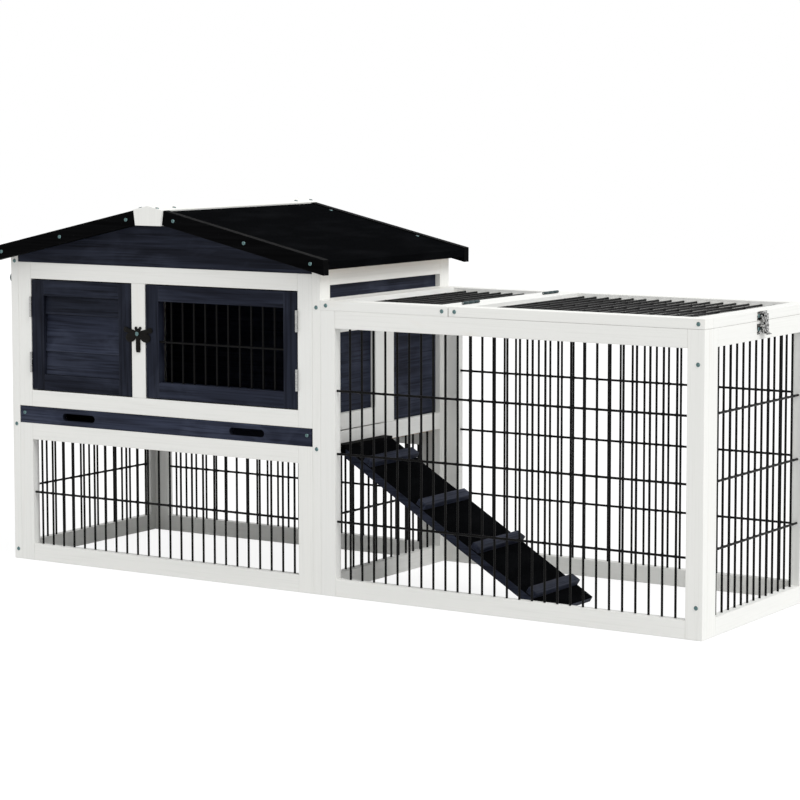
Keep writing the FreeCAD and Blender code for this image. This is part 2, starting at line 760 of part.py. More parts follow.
# Lid latch
def lid_latch():
    """Catch on the lid, eared base on the end rail, and the sprung lever between them."""
    half_plate = latch_plate_width / 2
    plate_y = (latch_y - half_plate, latch_y + half_plate)
    plate_x = (run_end, run_end + latch_plate_thickness)
    catch_middle = (run_height + lid_seat_gap + top_height) / 2
    catch_z = (catch_middle - catch_plate_height / 2, catch_middle + catch_plate_height / 2)
    plate = slab("side", plate_y, catch_z, plate_x)
    ledge_y = (latch_y - catch_ledge_width / 2, latch_y + catch_ledge_width / 2)
    ledge_z = (catch_middle - catch_ledge_height / 2, catch_middle + catch_ledge_height / 2)
    ledge = slab("side", ledge_y, ledge_z, (run_end, run_end + catch_ledge_proud))
    nodes["lid_latch_catch"] = [united(plate, ledge)]

    base_top = run_height - base_drop
    base = slab("side", plate_y, (base_top - base_plate_height, base_top), plate_x)
    for y in inset(plate_y, latch_screw_inset):
        add_screw("lid_screws", plate_x[1], y, catch_middle, X_AXIS, short_screw)
        add_screw("frame_screws", plate_x[1], y, base_top - base_plate_height / 2, X_AXIS, short_screw)
    ear_z = (lever_pivot_z - ear_height / 2, lever_pivot_z + ear_height / 2)
    ear_inner = lever_width / 2 + knuckle_gap
    ears = []
    for side in (LEFT, RIGHT):
        ear_y = sorted((latch_y + side * ear_inner, latch_y + side * (ear_inner + ear_thickness)))
        ears.append(slab("side", ear_y, ear_z, (run_end, run_end + ear_proud)))
    pin_y = inset((latch_y, latch_y), -ear_inner - ear_thickness)
    pin_ends = [(lever_pivot_x, y, lever_pivot_z) for y in pin_y]
    bore = rod(*pin_ends, lever_pivot_radius + pin_fit)
    nodes["lid_latch_base"] = [united(base, *ears).cut(bore).Solids[0]]
    nodes["hinge_pins"].append(rod(*pin_ends, lever_pivot_radius))

    lever_y = (latch_y - lever_width / 2, latch_y + lever_width / 2)
    hook_z = ledge_z[1] + lever_hook_gap
    leg_x = (lever_face, lever_face + lever_thickness)
    curl_z = lever_pivot_z - lever_curl_drop
    leg = slab("side", lever_y, (curl_z, hook_z + lever_thickness), leg_x)
    hook_x = (run_end + latch_plate_thickness + lever_hook_gap, leg_x[1])
    hook = slab("side", lever_y, (hook_z, hook_z + lever_thickness), hook_x)
    ends = [(lever_pivot_x, y, lever_pivot_z) for y in lever_y]
    eye = rod(*ends, lever_eye_radius)
    nodes["lid_latch_lever"] = [united(leg, hook, eye, lever_curl(curl_z, lever_y)).cut(bore).Solids[0]]


def lever_curl(top_z, y_span):
    """Finger tab of the lever: a quarter ring that bends its lower end outwards."""
    centre_x = lever_face + lever_thickness + lever_curl_radius
    low_z = top_z - lever_curl_radius - lever_thickness
    ends = [(centre_x, y, top_z) for y in y_span]
    ring = rod(*ends, lever_curl_radius + lever_thickness).cut(rod(*ends, lever_curl_radius))
    corner = slab("side", y_span, (low_z, top_z), (lever_face, centre_x))
    return ring.common(corner).Solids[0]


# Ramp
def ramp_point(along, above):
    """Front-view point at a distance down the ramp and a height above its felt."""
    x = ramp_head_x + along * math.cos(ramp_slope) + above * math.sin(ramp_slope)
    z = ramp_head_z - along * math.sin(ramp_slope) + above * math.cos(ramp_slope)
    return x, z


def ramp():
    """Ledge on the wall, and the ramp that hinges on it: board, felt and cleats."""
    y_span = (ramp_front, ramp_front + ramp_width)
    ledge_z = (ledge_top - ledge_height, ledge_top)
    nodes["ramp_ledge"] = [slab("front", (house_width, ledge_front), ledge_z, y_span)]
    length = (ramp_head_z - ramp_foot_height) / math.sin(ramp_slope)
    felt_drop = ramp_felt_thickness / math.cos(ramp_slope)
    board_drop = ramp_thickness / math.cos(ramp_slope)
    felt_head = (ramp_head_x, ramp_head_z - felt_drop)
    felt_foot = ramp_point(length, -ramp_felt_thickness)
    felt = [(ramp_head_x, ramp_head_z), ramp_point(length, 0.0), felt_foot, felt_head]
    nodes["ramp_felt"] = [prism(felt, y_span)]
    toe_x = ramp_point(length, -ramp_foot_height / math.cos(ramp_slope))[0]
    heel_x = ramp_head_x + (ramp_head_z - board_drop) / math.tan(ramp_slope)
    board = [felt_head, felt_foot, (toe_x, 0.0), (heel_x, 0.0), (ramp_head_x, ramp_head_z - board_drop)]
    nodes["ramp_board"] = [prism(board, y_span)]
    cleats = []
    along = cleat_first
    while along + cleat_width / 2 + cleat_margin < length:
        low, high = along - cleat_width / 2, along + cleat_width / 2
        section = [(low, 0.0), (high, 0.0), (high, cleat_height), (low, cleat_height)]
        cleats.append(prism([ramp_point(*corner) for corner in section], y_span))
        along += cleat_pitch
    nodes["ramp_cleats"] = cleats


# Small metalwork
def wall_staple():
    """Half-round wire staple in the front edge of the left wall, with its two legs in the timber."""
    y = timber / 2
    ring_centre = Vector(0, y, staple_height)
    top = Vector(0, y, staple_height + staple_radius)
    circle = Part.Wire(Part.makeCircle(staple_wire_radius, top, X_AXIS))
    bow = Part.Face(circle).revolve(ring_centre, Y_AXIS, -HALF_TURN)
    legs = []
    for height in (staple_height - staple_radius, staple_height + staple_radius):
        legs.append(rod((0.0, y, height), (staple_leg, y, height), staple_wire_radius))
        hole = rod((0.0, y, height), (staple_leg, y, height), staple_wire_radius + screw_fit)
        nodes["left_wall_frame"] = [piece.cut(hole).Solids[0] for piece in nodes["left_wall_frame"]]
    nodes["wall_staple"] = [united(bow, *legs)]


def screw_piece(length):
    """Pan-head screw: its head stands on the plane z = 0 and its shank runs down from there."""
    head = Part.makeCone(screw_head_radius, screw_top_radius, screw_head_height)
    shank = Part.makeCylinder(screw_shank_radius, length, Vector(), -Z_AXIS)
    half_length, half_width = cross_length / 2, cross_width / 2
    low = screw_head_height - cross_depth
    level = Part.makeBox(cross_length, cross_width, cross_depth, Vector(-half_length, -half_width, low))
    upright = Part.makeBox(cross_width, cross_length, cross_depth, Vector(-half_width, -half_length, low))
    return united(head, shank).cut([level, upright]).Solids[0]


def drilled(solid, holes):
    """A solid with every hole that reaches into its box cut out of it."""
    for hole in holes:
        if solid.BoundBox.intersect(hole.BoundBox):
            solid = solid.cut(hole).Solids[0]
    return solid


def drive_screws():
    """Drill every piece for the noted screws, and give the screws of each body their own node."""
    patterns = {length: screw_piece(length) for length in (long_screw, short_screw, cap_screw)}
    holes = []
    groups = {}
    for group, point, outward, length in screws:
        holes.append(Part.makeCylinder(screw_shank_radius + screw_fit, length, point, -outward))
        screw = patterns[length].copy()
        screw.Placement = FreeCAD.Placement(point, FreeCAD.Rotation(Z_AXIS, outward))
        groups.setdefault(group, []).append(screw)
    for name in nodes:
        nodes[name] = [drilled(solid, holes) for solid in nodes[name]]
    nodes.update(groups)


def export():
    """Write each node in the hutch's own frame, and print what it holds."""
    os.makedirs("parts", exist_ok=True)
    shift = Vector(-origin_x, -origin_y, 0)
    for name, solids in sorted(nodes.items()):
        moved = []
        for solid in solids:
            piece = solid.copy()
            piece.translate(shift)
            moved.append(piece)
        shape = moved[0] if len(moved) == 1 else Part.Compound(moved)
        shape.exportStep("parts/" + name + ".step")
        print(name, len(solids), "solids", round(shape.Volume), "mm3", "valid", shape.isValid())
    print(len(nodes), "nodes")


house_front_and_back()
side_walls()
roof()
doors()
turn_latch()
tray()
run()
lid_latch()
ramp()
wall_staple()
drive_screws()
export()
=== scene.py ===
# %% [markdown]
# # A two-tier wooden pet hutch
#
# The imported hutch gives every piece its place, its size and the body that it moves with. This lesson
# dresses it. The straight members become timber with eased edges and a grain of their own, the bars become
# welded wire, the roof gets its felt, and the small metalwork gets its plating. Before each step a few
# lines say what the piece is on a real hutch, how it could be made, and why it is made this way here.

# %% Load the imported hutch
import json
import math

import bpy
import numpy as np
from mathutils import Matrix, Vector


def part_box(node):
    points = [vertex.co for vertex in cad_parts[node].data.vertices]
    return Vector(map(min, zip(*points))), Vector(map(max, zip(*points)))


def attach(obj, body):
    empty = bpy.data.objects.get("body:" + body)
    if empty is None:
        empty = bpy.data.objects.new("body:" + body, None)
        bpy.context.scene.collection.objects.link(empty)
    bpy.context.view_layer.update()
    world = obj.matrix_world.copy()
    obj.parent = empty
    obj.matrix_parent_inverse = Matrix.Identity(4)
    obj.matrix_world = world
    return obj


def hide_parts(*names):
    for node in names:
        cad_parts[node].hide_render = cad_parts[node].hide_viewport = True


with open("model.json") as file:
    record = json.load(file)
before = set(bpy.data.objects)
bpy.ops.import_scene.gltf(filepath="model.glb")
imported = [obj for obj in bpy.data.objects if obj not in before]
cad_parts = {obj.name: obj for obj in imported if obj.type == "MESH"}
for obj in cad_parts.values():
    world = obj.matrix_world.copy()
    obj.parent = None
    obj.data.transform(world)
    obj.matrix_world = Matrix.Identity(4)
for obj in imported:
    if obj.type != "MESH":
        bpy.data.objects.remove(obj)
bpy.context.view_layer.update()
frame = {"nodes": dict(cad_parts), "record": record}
bodies = frame["record"]["behaviour"]["bodies"]
node_body = {node: body for body, members in bodies.items() for node in members}
node_slot = {entry["node"]: entry["material_slot"] for entry in frame["record"]["subparts"]}

# %% [markdown]
# ## Where the picture is taken from
#
# A camera could be moved by eye until the picture looks right. Here it was fitted instead: the straight
# edges of the hutch are known in millimetres, so a small least-squares fit gives the place, the turn and
# the lens that put those edges where they lie in the picture. A long lens from about five metres keeps the
# uprights almost parallel.

# %% Camera
LENS = 116.671
LENS_SHIFT = (-0.05, -0.075)
CAMERA_PLACE = (2.66606, -4.06576, 0.89565)
CAMERA_TURN = (84.7847, 0.0, 32.1953)

scene = bpy.context.scene
scene.view_settings.view_transform = "Standard"
lens = bpy.data.cameras.new("studio_camera")
lens.lens = LENS
lens.shift_x, lens.shift_y = LENS_SHIFT
camera = bpy.data.objects.new("studio_camera", lens)
camera.location = CAMERA_PLACE
camera.rotation_euler = [math.radians(turn) for turn in CAMERA_TURN]
scene.collection.objects.link(camera)
scene.camera = camera
print("camera", tuple(camera.location), "lens", lens.lens)

# %% [markdown]
# ## Small helpers for node trees
#
# A material in Blender is a tree of nodes. Clicking one together is quick, but a script can be read again,
# so these helpers add a node, fill its inputs with plain values or with other nodes' outputs, and stretch
# a noise along the axis that a grain follows.


# %% Node helpers
def add_node(tree, kind, inputs=None, **settings):
    """Adds a shader node, sets its options, and fills its inputs with values or joins them to outputs."""
    node = tree.nodes.new("ShaderNode" + kind)
    for key, value in settings.items():
        setattr(node, key, value)
    for key, value in (inputs or {}).items():
        if isinstance(value, bpy.types.NodeSocket):
            tree.links.new(value, node.inputs[key])
        else:
            node.inputs[key].default_value = value
    return node


def new_finish(name):
    """A material with its tree and its Principled shader."""
    material = bpy.data.materials.new(name)
    material.use_nodes = True
    return material, material.node_tree, material.node_tree.nodes["Principled BSDF"]


def noise(tree, place, stretch, detail=3.0, distortion=0.0):
    """Noise whose features are 1/stretch metres long on each axis of the place that it reads."""
    mapping = add_node(tree, "Mapping", {"Vector": place, "Scale": stretch})
    inputs = {"Vector": mapping.outputs[0], "Scale": 1.0, "Detail": detail, "Distortion": distortion}
    return add_node(tree, "TexNoise", inputs).outputs[0]


def spread(tree, value, low, high, to_low=0.0, to_high=1.0):
    """Stretches the part of a value between low and high over a new range."""
    inputs = {"Value": value, "From Min": low, "From Max": high, "To Min": to_low, "To Max": to_high}
    return add_node(tree, "MapRange", inputs).outputs[0]


def times(tree, first, second):
    """Product of two values."""
    return add_node(tree, "Math", {0: first, 1: second}, operation="MULTIPLY").outputs[0]


def mixed(tree, share, first, second):
    """Colour that goes from the first to the second with a share from 0 to 1."""
    return add_node(tree, "Mix", {0: share, 6: first, 7: second}, data_type="RGBA").outputs[2]


def layered(tree, colour, *layers):
    """Colour under some layers, each a share from 0 to 1 and the colour that it brings."""
    for share, layer_colour in layers:
        colour = mixed(tree, share, colour, layer_colour)
    return colour


def coat(tree, shader, colour, grain, rough, level, strength, depth, low=0.30):
    """Fills a shader with a colour, a level of reflection, and a roughness and bump that follow a grain."""
    tree.links.new(colour, shader.inputs["Base Color"])
    tree.links.new(spread(tree, grain, low, 0.70, *rough), shader.inputs["Roughness"])
    shader.inputs["Specular IOR Level"].default_value = level
    bump = add_node(tree, "Bump", {"Height": grain, "Strength": strength, "Distance": depth})
    tree.links.new(bump.outputs[0], shader.inputs["Normal"])


print("node helpers ready")

# %% [markdown]
# ## Studio light and floor
#
# The hutch stands in an even white room with one broad lamp to the right and above, and only a little in
# front, so the tops and the end of the run are the brightest and the front is a shade darker. Adding light
# until the floor burns out would bleach the white paint too. Instead the floor and the sky show themselves
# as white only to the camera and to mirrors, and the floor keeps a part of its diffuse shader, which
# carries the shadow.


# %% Sky, lamp and floor
def seen_directly(tree):
    """1 for camera and mirror rays, 0 for the light that falls on the hutch."""
    rays = add_node(tree, "LightPath").outputs
    inputs = {0: rays["Is Camera Ray"], 1: rays["Is Glossy Ray"]}
    return add_node(tree, "Math", inputs, operation="ADD", use_clamp=True).outputs[0]


WHITE = (1.0, 1.0, 1.0, 1.0)
SKY_LIGHT = 0.90
LAMP_STRENGTH = 1.50
LAMP_FROM = np.array([0.657, -0.168, 0.735])
LAMP_WIDTH = math.radians(28.0)

world = bpy.data.worlds.new("white_room")
world.use_nodes = True
scene.world = world
sky = world.node_tree.nodes["Background"]
sky.inputs["Color"].default_value = WHITE
sky_level = spread(world.node_tree, seen_directly(world.node_tree), 0.0, 1.0, SKY_LIGHT, 1.0)
world.node_tree.links.new(sky_level, sky.inputs["Strength"])

lamp_data = bpy.data.lights.new("broad_lamp", "SUN")
lamp_data.energy = LAMP_STRENGTH
lamp_data.angle = LAMP_WIDTH
lamp = bpy.data.objects.new("broad_lamp", lamp_data)
flat_reach = math.hypot(LAMP_FROM[0], LAMP_FROM[1])
lamp.rotation_euler = (math.atan2(flat_reach, LAMP_FROM[2]), 0.0, math.atan2(LAMP_FROM[0], -LAMP_FROM[1]))
scene.collection.objects.link(lamp)

FLOOR_HALF = 9.0
FLOOR_LEVEL = -0.0004
FLOOR_BOUNCE = (0.70, 0.70, 0.70, 1.0)
FLOOR_SHADOW = (0.17, 0.17, 0.17, 1.0)
FLOOR_GLOW = 0.88
corners = np.array([[-1, -1, 0], [1, -1, 0], [1, 1, 0], [-1, 1, 0]]) * FLOOR_HALF + [0, 0, FLOOR_LEVEL]
floor_mesh = bpy.data.meshes.new("pale_floor")
floor_mesh.from_pydata(corners.tolist(), [], [[0, 1, 2, 3]])
floor = bpy.data.objects.new("pale_floor", floor_mesh)
scene.collection.objects.link(floor)

floor_paint, tree, plain = new_finish("pale_floor")
tree.nodes.remove(plain)
bounce = add_node(tree, "BsdfDiffuse", {"Color": FLOOR_BOUNCE})
shadow_part = add_node(tree, "BsdfDiffuse", {"Color": FLOOR_SHADOW})
white_part = add_node(tree, "Emission", {"Color": WHITE, "Strength": FLOOR_GLOW})
shown = add_node(tree, "AddShader", {0: shadow_part.outputs[0], 1: white_part.outputs[0]})
chosen = add_node(tree, "MixShader", {0: seen_directly(tree), 1: bounce.outputs[0], 2: shown.outputs[0]})
tree.links.new(chosen.outputs[0], tree.nodes["Material Output"].inputs["Surface"])
floor_mesh.materials.append(floor_paint)
print("sky", SKY_LIGHT, "lamp", LAMP_STRENGTH, "floor", 2 * FLOOR_HALF, "m wide")

# %% [markdown]
# ## Finishes for timber
#
# Painted softwood still shows what is under the paint: fine lines along the board, broad bands, and a
# faint warm patch over a knot. An image of wood could be laid over every board, but its lines would break
# at each joint. Here every board carries its own coordinates in an attribute called board: the first runs
# along the grain and the others across. A noise that is stretched along the first coordinate gives a grain
# that follows each member, whichever way it lies, and shows end grain on its ends. A second attribute,
# worn, is 1 on the eased edges, where paint wears first, and a third, shade, differs from board to board.


# %% Timber finishes
def board_places(tree):
    """The board's own coordinates, its worn edges, and its own shade."""
    place = add_node(tree, "Attribute", attribute_name="board").outputs["Vector"]
    worn = add_node(tree, "Attribute", attribute_name="worn").outputs["Fac"]
    shade = add_node(tree, "Attribute", attribute_name="shade").outputs["Fac"]
    return place, worn, shade


def white_paint():
    """Satin white paint: thin grey grain lines, warm patches over knots, edges rubbed a little."""
    paint, grey_line = (0.824, 0.824, 0.793, 1.0), (0.700, 0.702, 0.664, 1.0)
    pale_band, warm_knot = (0.772, 0.775, 0.745, 1.0), (0.775, 0.722, 0.645, 1.0)
    cool_board, bare_edge = (0.765, 0.775, 0.765, 1.0), (0.640, 0.630, 0.595, 1.0)
    material, tree, shader = new_finish("white_paint")
    place, worn, shade = board_places(tree)
    fine = noise(tree, place, (7.0, 330.0, 330.0), detail=4.0)
    broad = noise(tree, place, (1.8, 42.0, 42.0), distortion=0.8)
    patch = noise(tree, place, (10.0, 34.0, 34.0), detail=2.0)
    lines = spread(tree, fine, 0.50, 0.78, 0.0, 0.50)
    bands = spread(tree, broad, 0.45, 0.75, 0.0, 0.40)
    knots = spread(tree, patch, 0.64, 0.80, 0.0, 0.30)
    cool = times(tree, shade, 0.45)
    rubbed = times(tree, worn, spread(tree, patch, 0.35, 0.65, 0.02, 0.25))
    colour = layered(tree, paint, (lines, grey_line), (bands, pale_band), (knots, warm_knot))
    colour = layered(tree, colour, (cool, cool_board), (rubbed, bare_edge))
    coat(tree, shader, colour, fine, (0.42, 0.56), 0.30, 0.22, 0.0005)
    return material


def navy_stain():
    """Dark navy stain: bands of darker and lighter grain, cloudy patches, and fine dark lines."""
    dark_band, light_band = (0.0085, 0.0103, 0.0188, 1.0), (0.0235, 0.0285, 0.0475, 1.0)
    pale_cloud, dark_line = (0.0430, 0.0505, 0.0780, 1.0), (0.0038, 0.0046, 0.0088, 1.0)
    pale_edge = (0.0420, 0.0470, 0.0640, 1.0)
    material, tree, shader = new_finish("navy_stain")
    place, worn, shade = board_places(tree)
    fine = noise(tree, place, (8.0, 300.0, 300.0), detail=5.0)
    broad = noise(tree, place, (2.0, 62.0, 62.0), detail=4.0, distortion=1.4)
    cloud = noise(tree, place, (9.0, 17.0, 17.0), detail=3.0, distortion=0.6)
    bands = mixed(tree, spread(tree, broad, 0.34, 0.66), dark_band, light_band)
    clouds = spread(tree, cloud, 0.48, 0.72, 0.0, 0.60)
    lines = spread(tree, fine, 0.50, 0.72, 0.0, 0.85)
    rubbed = times(tree, worn, spread(tree, cloud, 0.40, 0.70, 0.10, 0.50))
    colour = layered(tree, bands, (clouds, pale_cloud), (lines, dark_line), (rubbed, pale_edge))
    tone = spread(tree, shade, 0.0, 1.0, 0.55, 1.45)
    toned = add_node(tree, "VectorMath", {0: colour, "Scale": tone}, operation="SCALE").outputs[0]
    coat(tree, shader, toned, fine, (0.48, 0.66), 0.07, 0.30, 0.0006)
    return material


def black_paint():
    """Black paint on softwood: almost flat, with the grain just showing in its gloss."""
    deep, lit = (0.0012, 0.0012, 0.0014, 1.0), (0.0036, 0.0037, 0.0041, 1.0)
    own_tone, pale_edge = (0.0024, 0.0024, 0.0027, 1.0), (0.0050, 0.0050, 0.0054, 1.0)
    material, tree, shader = new_finish("black_paint")
    place, worn, shade = board_places(tree)
    fine = noise(tree, place, (8.0, 260.0, 260.0), detail=4.0)
    grain = mixed(tree, spread(tree, fine, 0.35, 0.70), deep, lit)
    layers = (times(tree, shade, 0.30), own_tone), (times(tree, worn, 0.30), pale_edge)
    colour = layered(tree, grain, *layers)
    coat(tree, shader, colour, fine, (0.46, 0.62), 0.01, 0.25, 0.0005)
    return material


def bare_wood():
    """Unpainted pine: growth rings cut lengthwise, with darker late wood and a fine fleck."""
    early, late = (0.560, 0.385, 0.205, 1.0), (0.420, 0.255, 0.115, 1.0)
    dark_fleck, own_tone = (0.330, 0.190, 0.085, 1.0), (0.500, 0.340, 0.180, 1.0)
    dark_edge = (0.300, 0.200, 0.110, 1.0)
    material, tree, shader = new_finish("bare_wood")
    place, worn, shade = board_places(tree)
    rings = noise(tree, place, (1.3, 70.0, 70.0), detail=4.0, distortion=2.2)
    fine = noise(tree, place, (14.0, 420.0, 420.0), detail=4.0)
    wood = mixed(tree, spread(tree, rings, 0.35, 0.65), early, late)
    flecks = spread(tree, fine, 0.50, 0.80, 0.0, 0.35)
    layers = (flecks, dark_fleck), (times(tree, shade, 0.35), own_tone), (times(tree, worn, 0.25), dark_edge)
    colour = layered(tree, wood, *layers)
    coat(tree, shader, colour, fine, (0.55, 0.72), 0.5, 0.30, 0.0005)
    return material


finishes = {make.__name__: make() for make in (white_paint, navy_stain, black_paint, bare_wood)}
print("timber finishes:", sorted(finishes))

# %% [markdown]
# ## Finishes for felt, wire and metal
#
# Roofing felt is bitumen with fine mineral grit pressed into it, so it drinks nearly all the light and
# still glitters a little. The wire is welded first and coated black after, which leaves a soft, slightly
# uneven gloss. Screws and hinges are zinc plated, some bright and some dull, and the two latches are
# plated steel and black paint; the plated one is mottled near black and pale, a painted reflection. All of
# them read Object coordinates, because their texture has no direction that follows a piece. A screw also
# carries an attribute that says how far each of its points faces upwards, and its upward faces are
# darkened by it: painted shade that dims the bright sky they reflect.


# %% Felt, wire and metal finishes
BRUSHED = (150.0, 150.0, 1500.0)
# Blotches a few millimetres across for the bright latch, whose mottle is painted reflection.
PAINTED_REFLECTION_MOTTLE = (240.0, 240.0, 240.0)
# Painted shade on the upward faces of screws: its colour, and how much of it is laid on.
PAINTED_SHADE_COLOUR = (0.020, 0.024, 0.025, 1.0)
PAINTED_SHADE_SHARE = 0.80


def black_felt():
    """Grit-faced felt: grains of a millimetre in bump and colour, and faint broad streaks of handling."""
    pit, grain = (0.0014, 0.0015, 0.0018, 1.0), (0.0060, 0.0064, 0.0072, 1.0)
    handled = (0.0082, 0.0087, 0.0100, 1.0)
    material, tree, shader = new_finish("black_felt")
    place = add_node(tree, "TexCoord").outputs["Object"]
    grit = noise(tree, place, (900.0, 900.0, 900.0), detail=2.0)
    streak = noise(tree, place, (26.0, 9.0, 26.0), detail=3.0)
    face = mixed(tree, spread(tree, grit, 0.40, 0.70), pit, grain)
    colour = mixed(tree, spread(tree, streak, 0.48, 0.75, 0.0, 0.45), face, handled)
    coat(tree, shader, colour, grit, (0.70, 0.95), 0.0, 0.55, 0.0007)
    return material


def plated(name, dark, light, roughness, metallic, level=0.5, stretch=BRUSHED, reach=(0.30, 0.70)):
    """Metal with a brushed tone between two colours, or a mottle of painted reflection, small dull spots in
    its gloss, and painted shade where it faces upwards.
    """
    material, tree, shader = new_finish(name)
    place = add_node(tree, "TexCoord").outputs["Object"]
    brushed = noise(tree, place, stretch, detail=3.0)
    spots = noise(tree, place, (420.0, 420.0, 420.0), detail=2.0)
    top_painted_shade = add_node(tree, "Attribute", attribute_name="top_painted_shade").outputs["Fac"]
    clean = mixed(tree, spread(tree, brushed, *reach), dark, light)
    colour = mixed(tree, times(tree, top_painted_shade, PAINTED_SHADE_SHARE), clean, PAINTED_SHADE_COLOUR)
    shader.inputs["Metallic"].default_value = metallic
    rough = (roughness * 0.8, roughness * 1.3)
    coat(tree, shader, colour, spots, rough, level, 0.12, 0.0002, low=0.35)
    return material


METALS = {
    "black_wire": ((0.0012, 0.0012, 0.0013, 1.0), (0.0028, 0.0028, 0.0030, 1.0), 0.38, 0.0, 0.09),
    "zinc_screw": ((0.085, 0.160, 0.165, 1.0), (0.160, 0.255, 0.255, 1.0), 0.36, 0.75),
    "silver_hinge": ((0.300, 0.300, 0.295, 1.0), (0.500, 0.500, 0.490, 1.0), 0.30, 1.0),
    "dark_steel": ((0.022, 0.042, 0.047, 1.0), (0.050, 0.080, 0.086, 1.0), 0.42, 0.80),
    # The bright latch goes from near black to pale grey in blotches: painted reflections of a darker room.
    "bright_latch": (
        (0.004, 0.004, 0.004, 1.0), (0.520, 0.520, 0.510, 1.0), 0.16, 1.0, 0.5, PAINTED_REFLECTION_MOTTLE, (0.46, 0.56)
    ),
    "black_latch": ((0.0032, 0.0030, 0.0026, 1.0), (0.0085, 0.0080, 0.0070, 1.0), 0.42, 0.0, 0.07),
}
finishes["black_felt"] = black_felt()
finishes.update({name: plated(name, *values) for name, values in METALS.items()})
assert set(finishes) == set(node_slot.values())
print("finishes:", sorted(finishes))

# %% [markdown]
# ## How a board is made
#
# A sawn and planed board is a straight profile carried along its length, with all its edges eased by a
# plane or by sandpaper. A Bevel modifier on a box would do the same, but then the mesh wouldn't know which
# way its grain runs. So the outline is rounded first: every corner becomes a short parabola with one more
# point on each side, which keeps the worn strip narrow. The outline is then carried from end to end in
# rings, and the first and last rings are drawn in to ease the ends as well.


# %% Rounded outlines
EASE = 0.0006
MARGIN = 0.0012
ARC_POINTS = 3


def drawn_in(outline, distance):
    """Polygon moved inwards: a corner goes back along (n1 + n2) / (1 + n1.n2), with n the outward
    edge normals."""
    edge = np.roll(outline, -1, 0) - outline
    after = np.stack([edge[:, 1], -edge[:, 0]], 1) / np.linalg.norm(edge, axis=1, keepdims=True)
    before = np.roll(after, 1, 0)
    return outline - distance * (before + after) / (1.0 + (before * after).sum(1, keepdims=True))


def eased(outline, radius, margin):
    """Rounded polygon: with unit directions a and b to its neighbours, a corner P becomes the parabola
    (1-s)^2 (P + ra) + 2s(1-s) P + s^2 (P + rb), and gets the points P + (r+m)a before it and P + (r+m)b
    after it."""
    back = np.roll(outline, 1, 0) - outline
    ahead = np.roll(outline, -1, 0) - outline
    back = back / np.linalg.norm(back, axis=1, keepdims=True)
    ahead = ahead / np.linalg.norm(ahead, axis=1, keepdims=True)
    s = np.linspace(0.0, 1.0, ARC_POINTS)[None, :, None]
    start = (outline + radius * back)[:, None]
    end = (outline + radius * ahead)[:, None]
    arc = (1 - s) ** 2 * start + 2 * s * (1 - s) * outline[:, None] + s ** 2 * end
    ring = np.concatenate([start + margin * back[:, None], arc, end + margin * ahead[:, None]], axis=1)
    return ring.reshape(-1, 2)


MEMBER = 0.032
THICK = 0.018
batten = np.array([[0.0, 0.0], [MEMBER, 0.0], [MEMBER, THICK], [0.0, THICK]])
print(len(eased(batten, EASE, MARGIN)), "points round a batten")

# %% Carrying an outline
WORN_RING = np.array([0.0] + [1.0] * ARC_POINTS + [0.0])


def ring_faces(rings, points):
    """Quads between neighbouring rings of a closed tube, and the two end faces, all facing outwards."""
    first = np.arange(rings - 1)[:, None] * points
    here = np.arange(points)[None, :]
    there = (here + 1) % points
    quads = np.stack([first + here, first + there, first + points + there, first + points + here], -1)
    low_end = np.arange(points)[::-1]
    high_end = (rings - 1) * points + np.arange(points)
    return quads.reshape(-1, 4).tolist() + [low_end.tolist(), high_end.tolist()]


def carried(outline, axes, span, grain, ease=EASE, margin=MARGIN):
    """Board: an outline on the first two axes, carried along the third. Ring k is the outline drawn in by
    d(k) at the distance s(k) from an end, with (d, s) on a quarter circle of radius ease. Returns points,
    faces, grain and wear."""
    outline = np.asarray(outline, float)
    area = (outline[:, 0] * np.roll(outline[:, 1], -1) - np.roll(outline[:, 0], -1) * outline[:, 1]).sum()
    if area < 0:
        outline = outline[::-1]
    mid = ease * (1.0 - math.sqrt(0.5))
    steps = [(ease + margin, 0.0, 0.0), (ease, 0.0, 1.0), (mid, mid, 1.0), (0.0, ease, 1.0)]
    steps.append((0.0, ease + margin, 0.0))
    ends = [(inward, span[0] + along, worn) for inward, along, worn in steps]
    ends += [(inward, span[1] - along, worn) for inward, along, worn in reversed(steps)]
    rings = [eased(drawn_in(outline, inward), max(ease - inward, ease / 4), margin) for inward, _, _ in ends]
    count = len(rings[0])
    points = np.empty((len(ends), count, 3))
    points[:, :, list(axes[:2])] = np.stack(rings)
    points[:, :, axes[2]] = np.array([along for _, along, _ in ends])[:, None]
    round_wear = np.tile(WORN_RING, len(outline))[None, :]
    worn = np.maximum(np.array([level for _, _, level in ends])[:, None], round_wear)
    worn[0] = worn[-1] = 0.0
    points = points.reshape(-1, 3)
    along = [grain, (grain + 1) % 3, (grain + 2) % 3]
    return points, ring_faces(len(ends), count), points[:, along], worn.ravel()


def board(low, high, grain=None):
    """Straight board between two corners, its grain along its longest side unless another axis is named."""
    low, high = np.array(low, float), np.array(high, float)
    grain = int(np.argmax(high - low)) if grain is None else grain
    p, q = (grain + 1) % 3, (grain + 2) % 3
    outline = [(low[p], low[q]), (high[p], low[q]), (high[p], high[q]), (low[p], high[q])]
    return carried(outline, (p, q, grain), (low[grain], high[grain]), grain)


def cut_board(front_view, y_span, grain, ease=EASE, margin=MARGIN):
    """Board whose shape is drawn from the front as (x, z) points, carried through its depth."""
    outline = [(z, x) for x, z in front_view]
    return carried(outline, (2, 0, 1), y_span, grain, ease, margin)


print("boards have", len(board((0, 0, 0), (1, THICK, MEMBER))[1]), "faces each")

# %% [markdown]
# ## From boards to one piece
#
# Every CAD node becomes one object, so that the doors, the tray and the lid keep moving as they do in the
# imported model. The boards of a node are joined into one mesh, with their own grain coordinates pushed
# apart by a seeded random step, so that no two boards show the same lines.

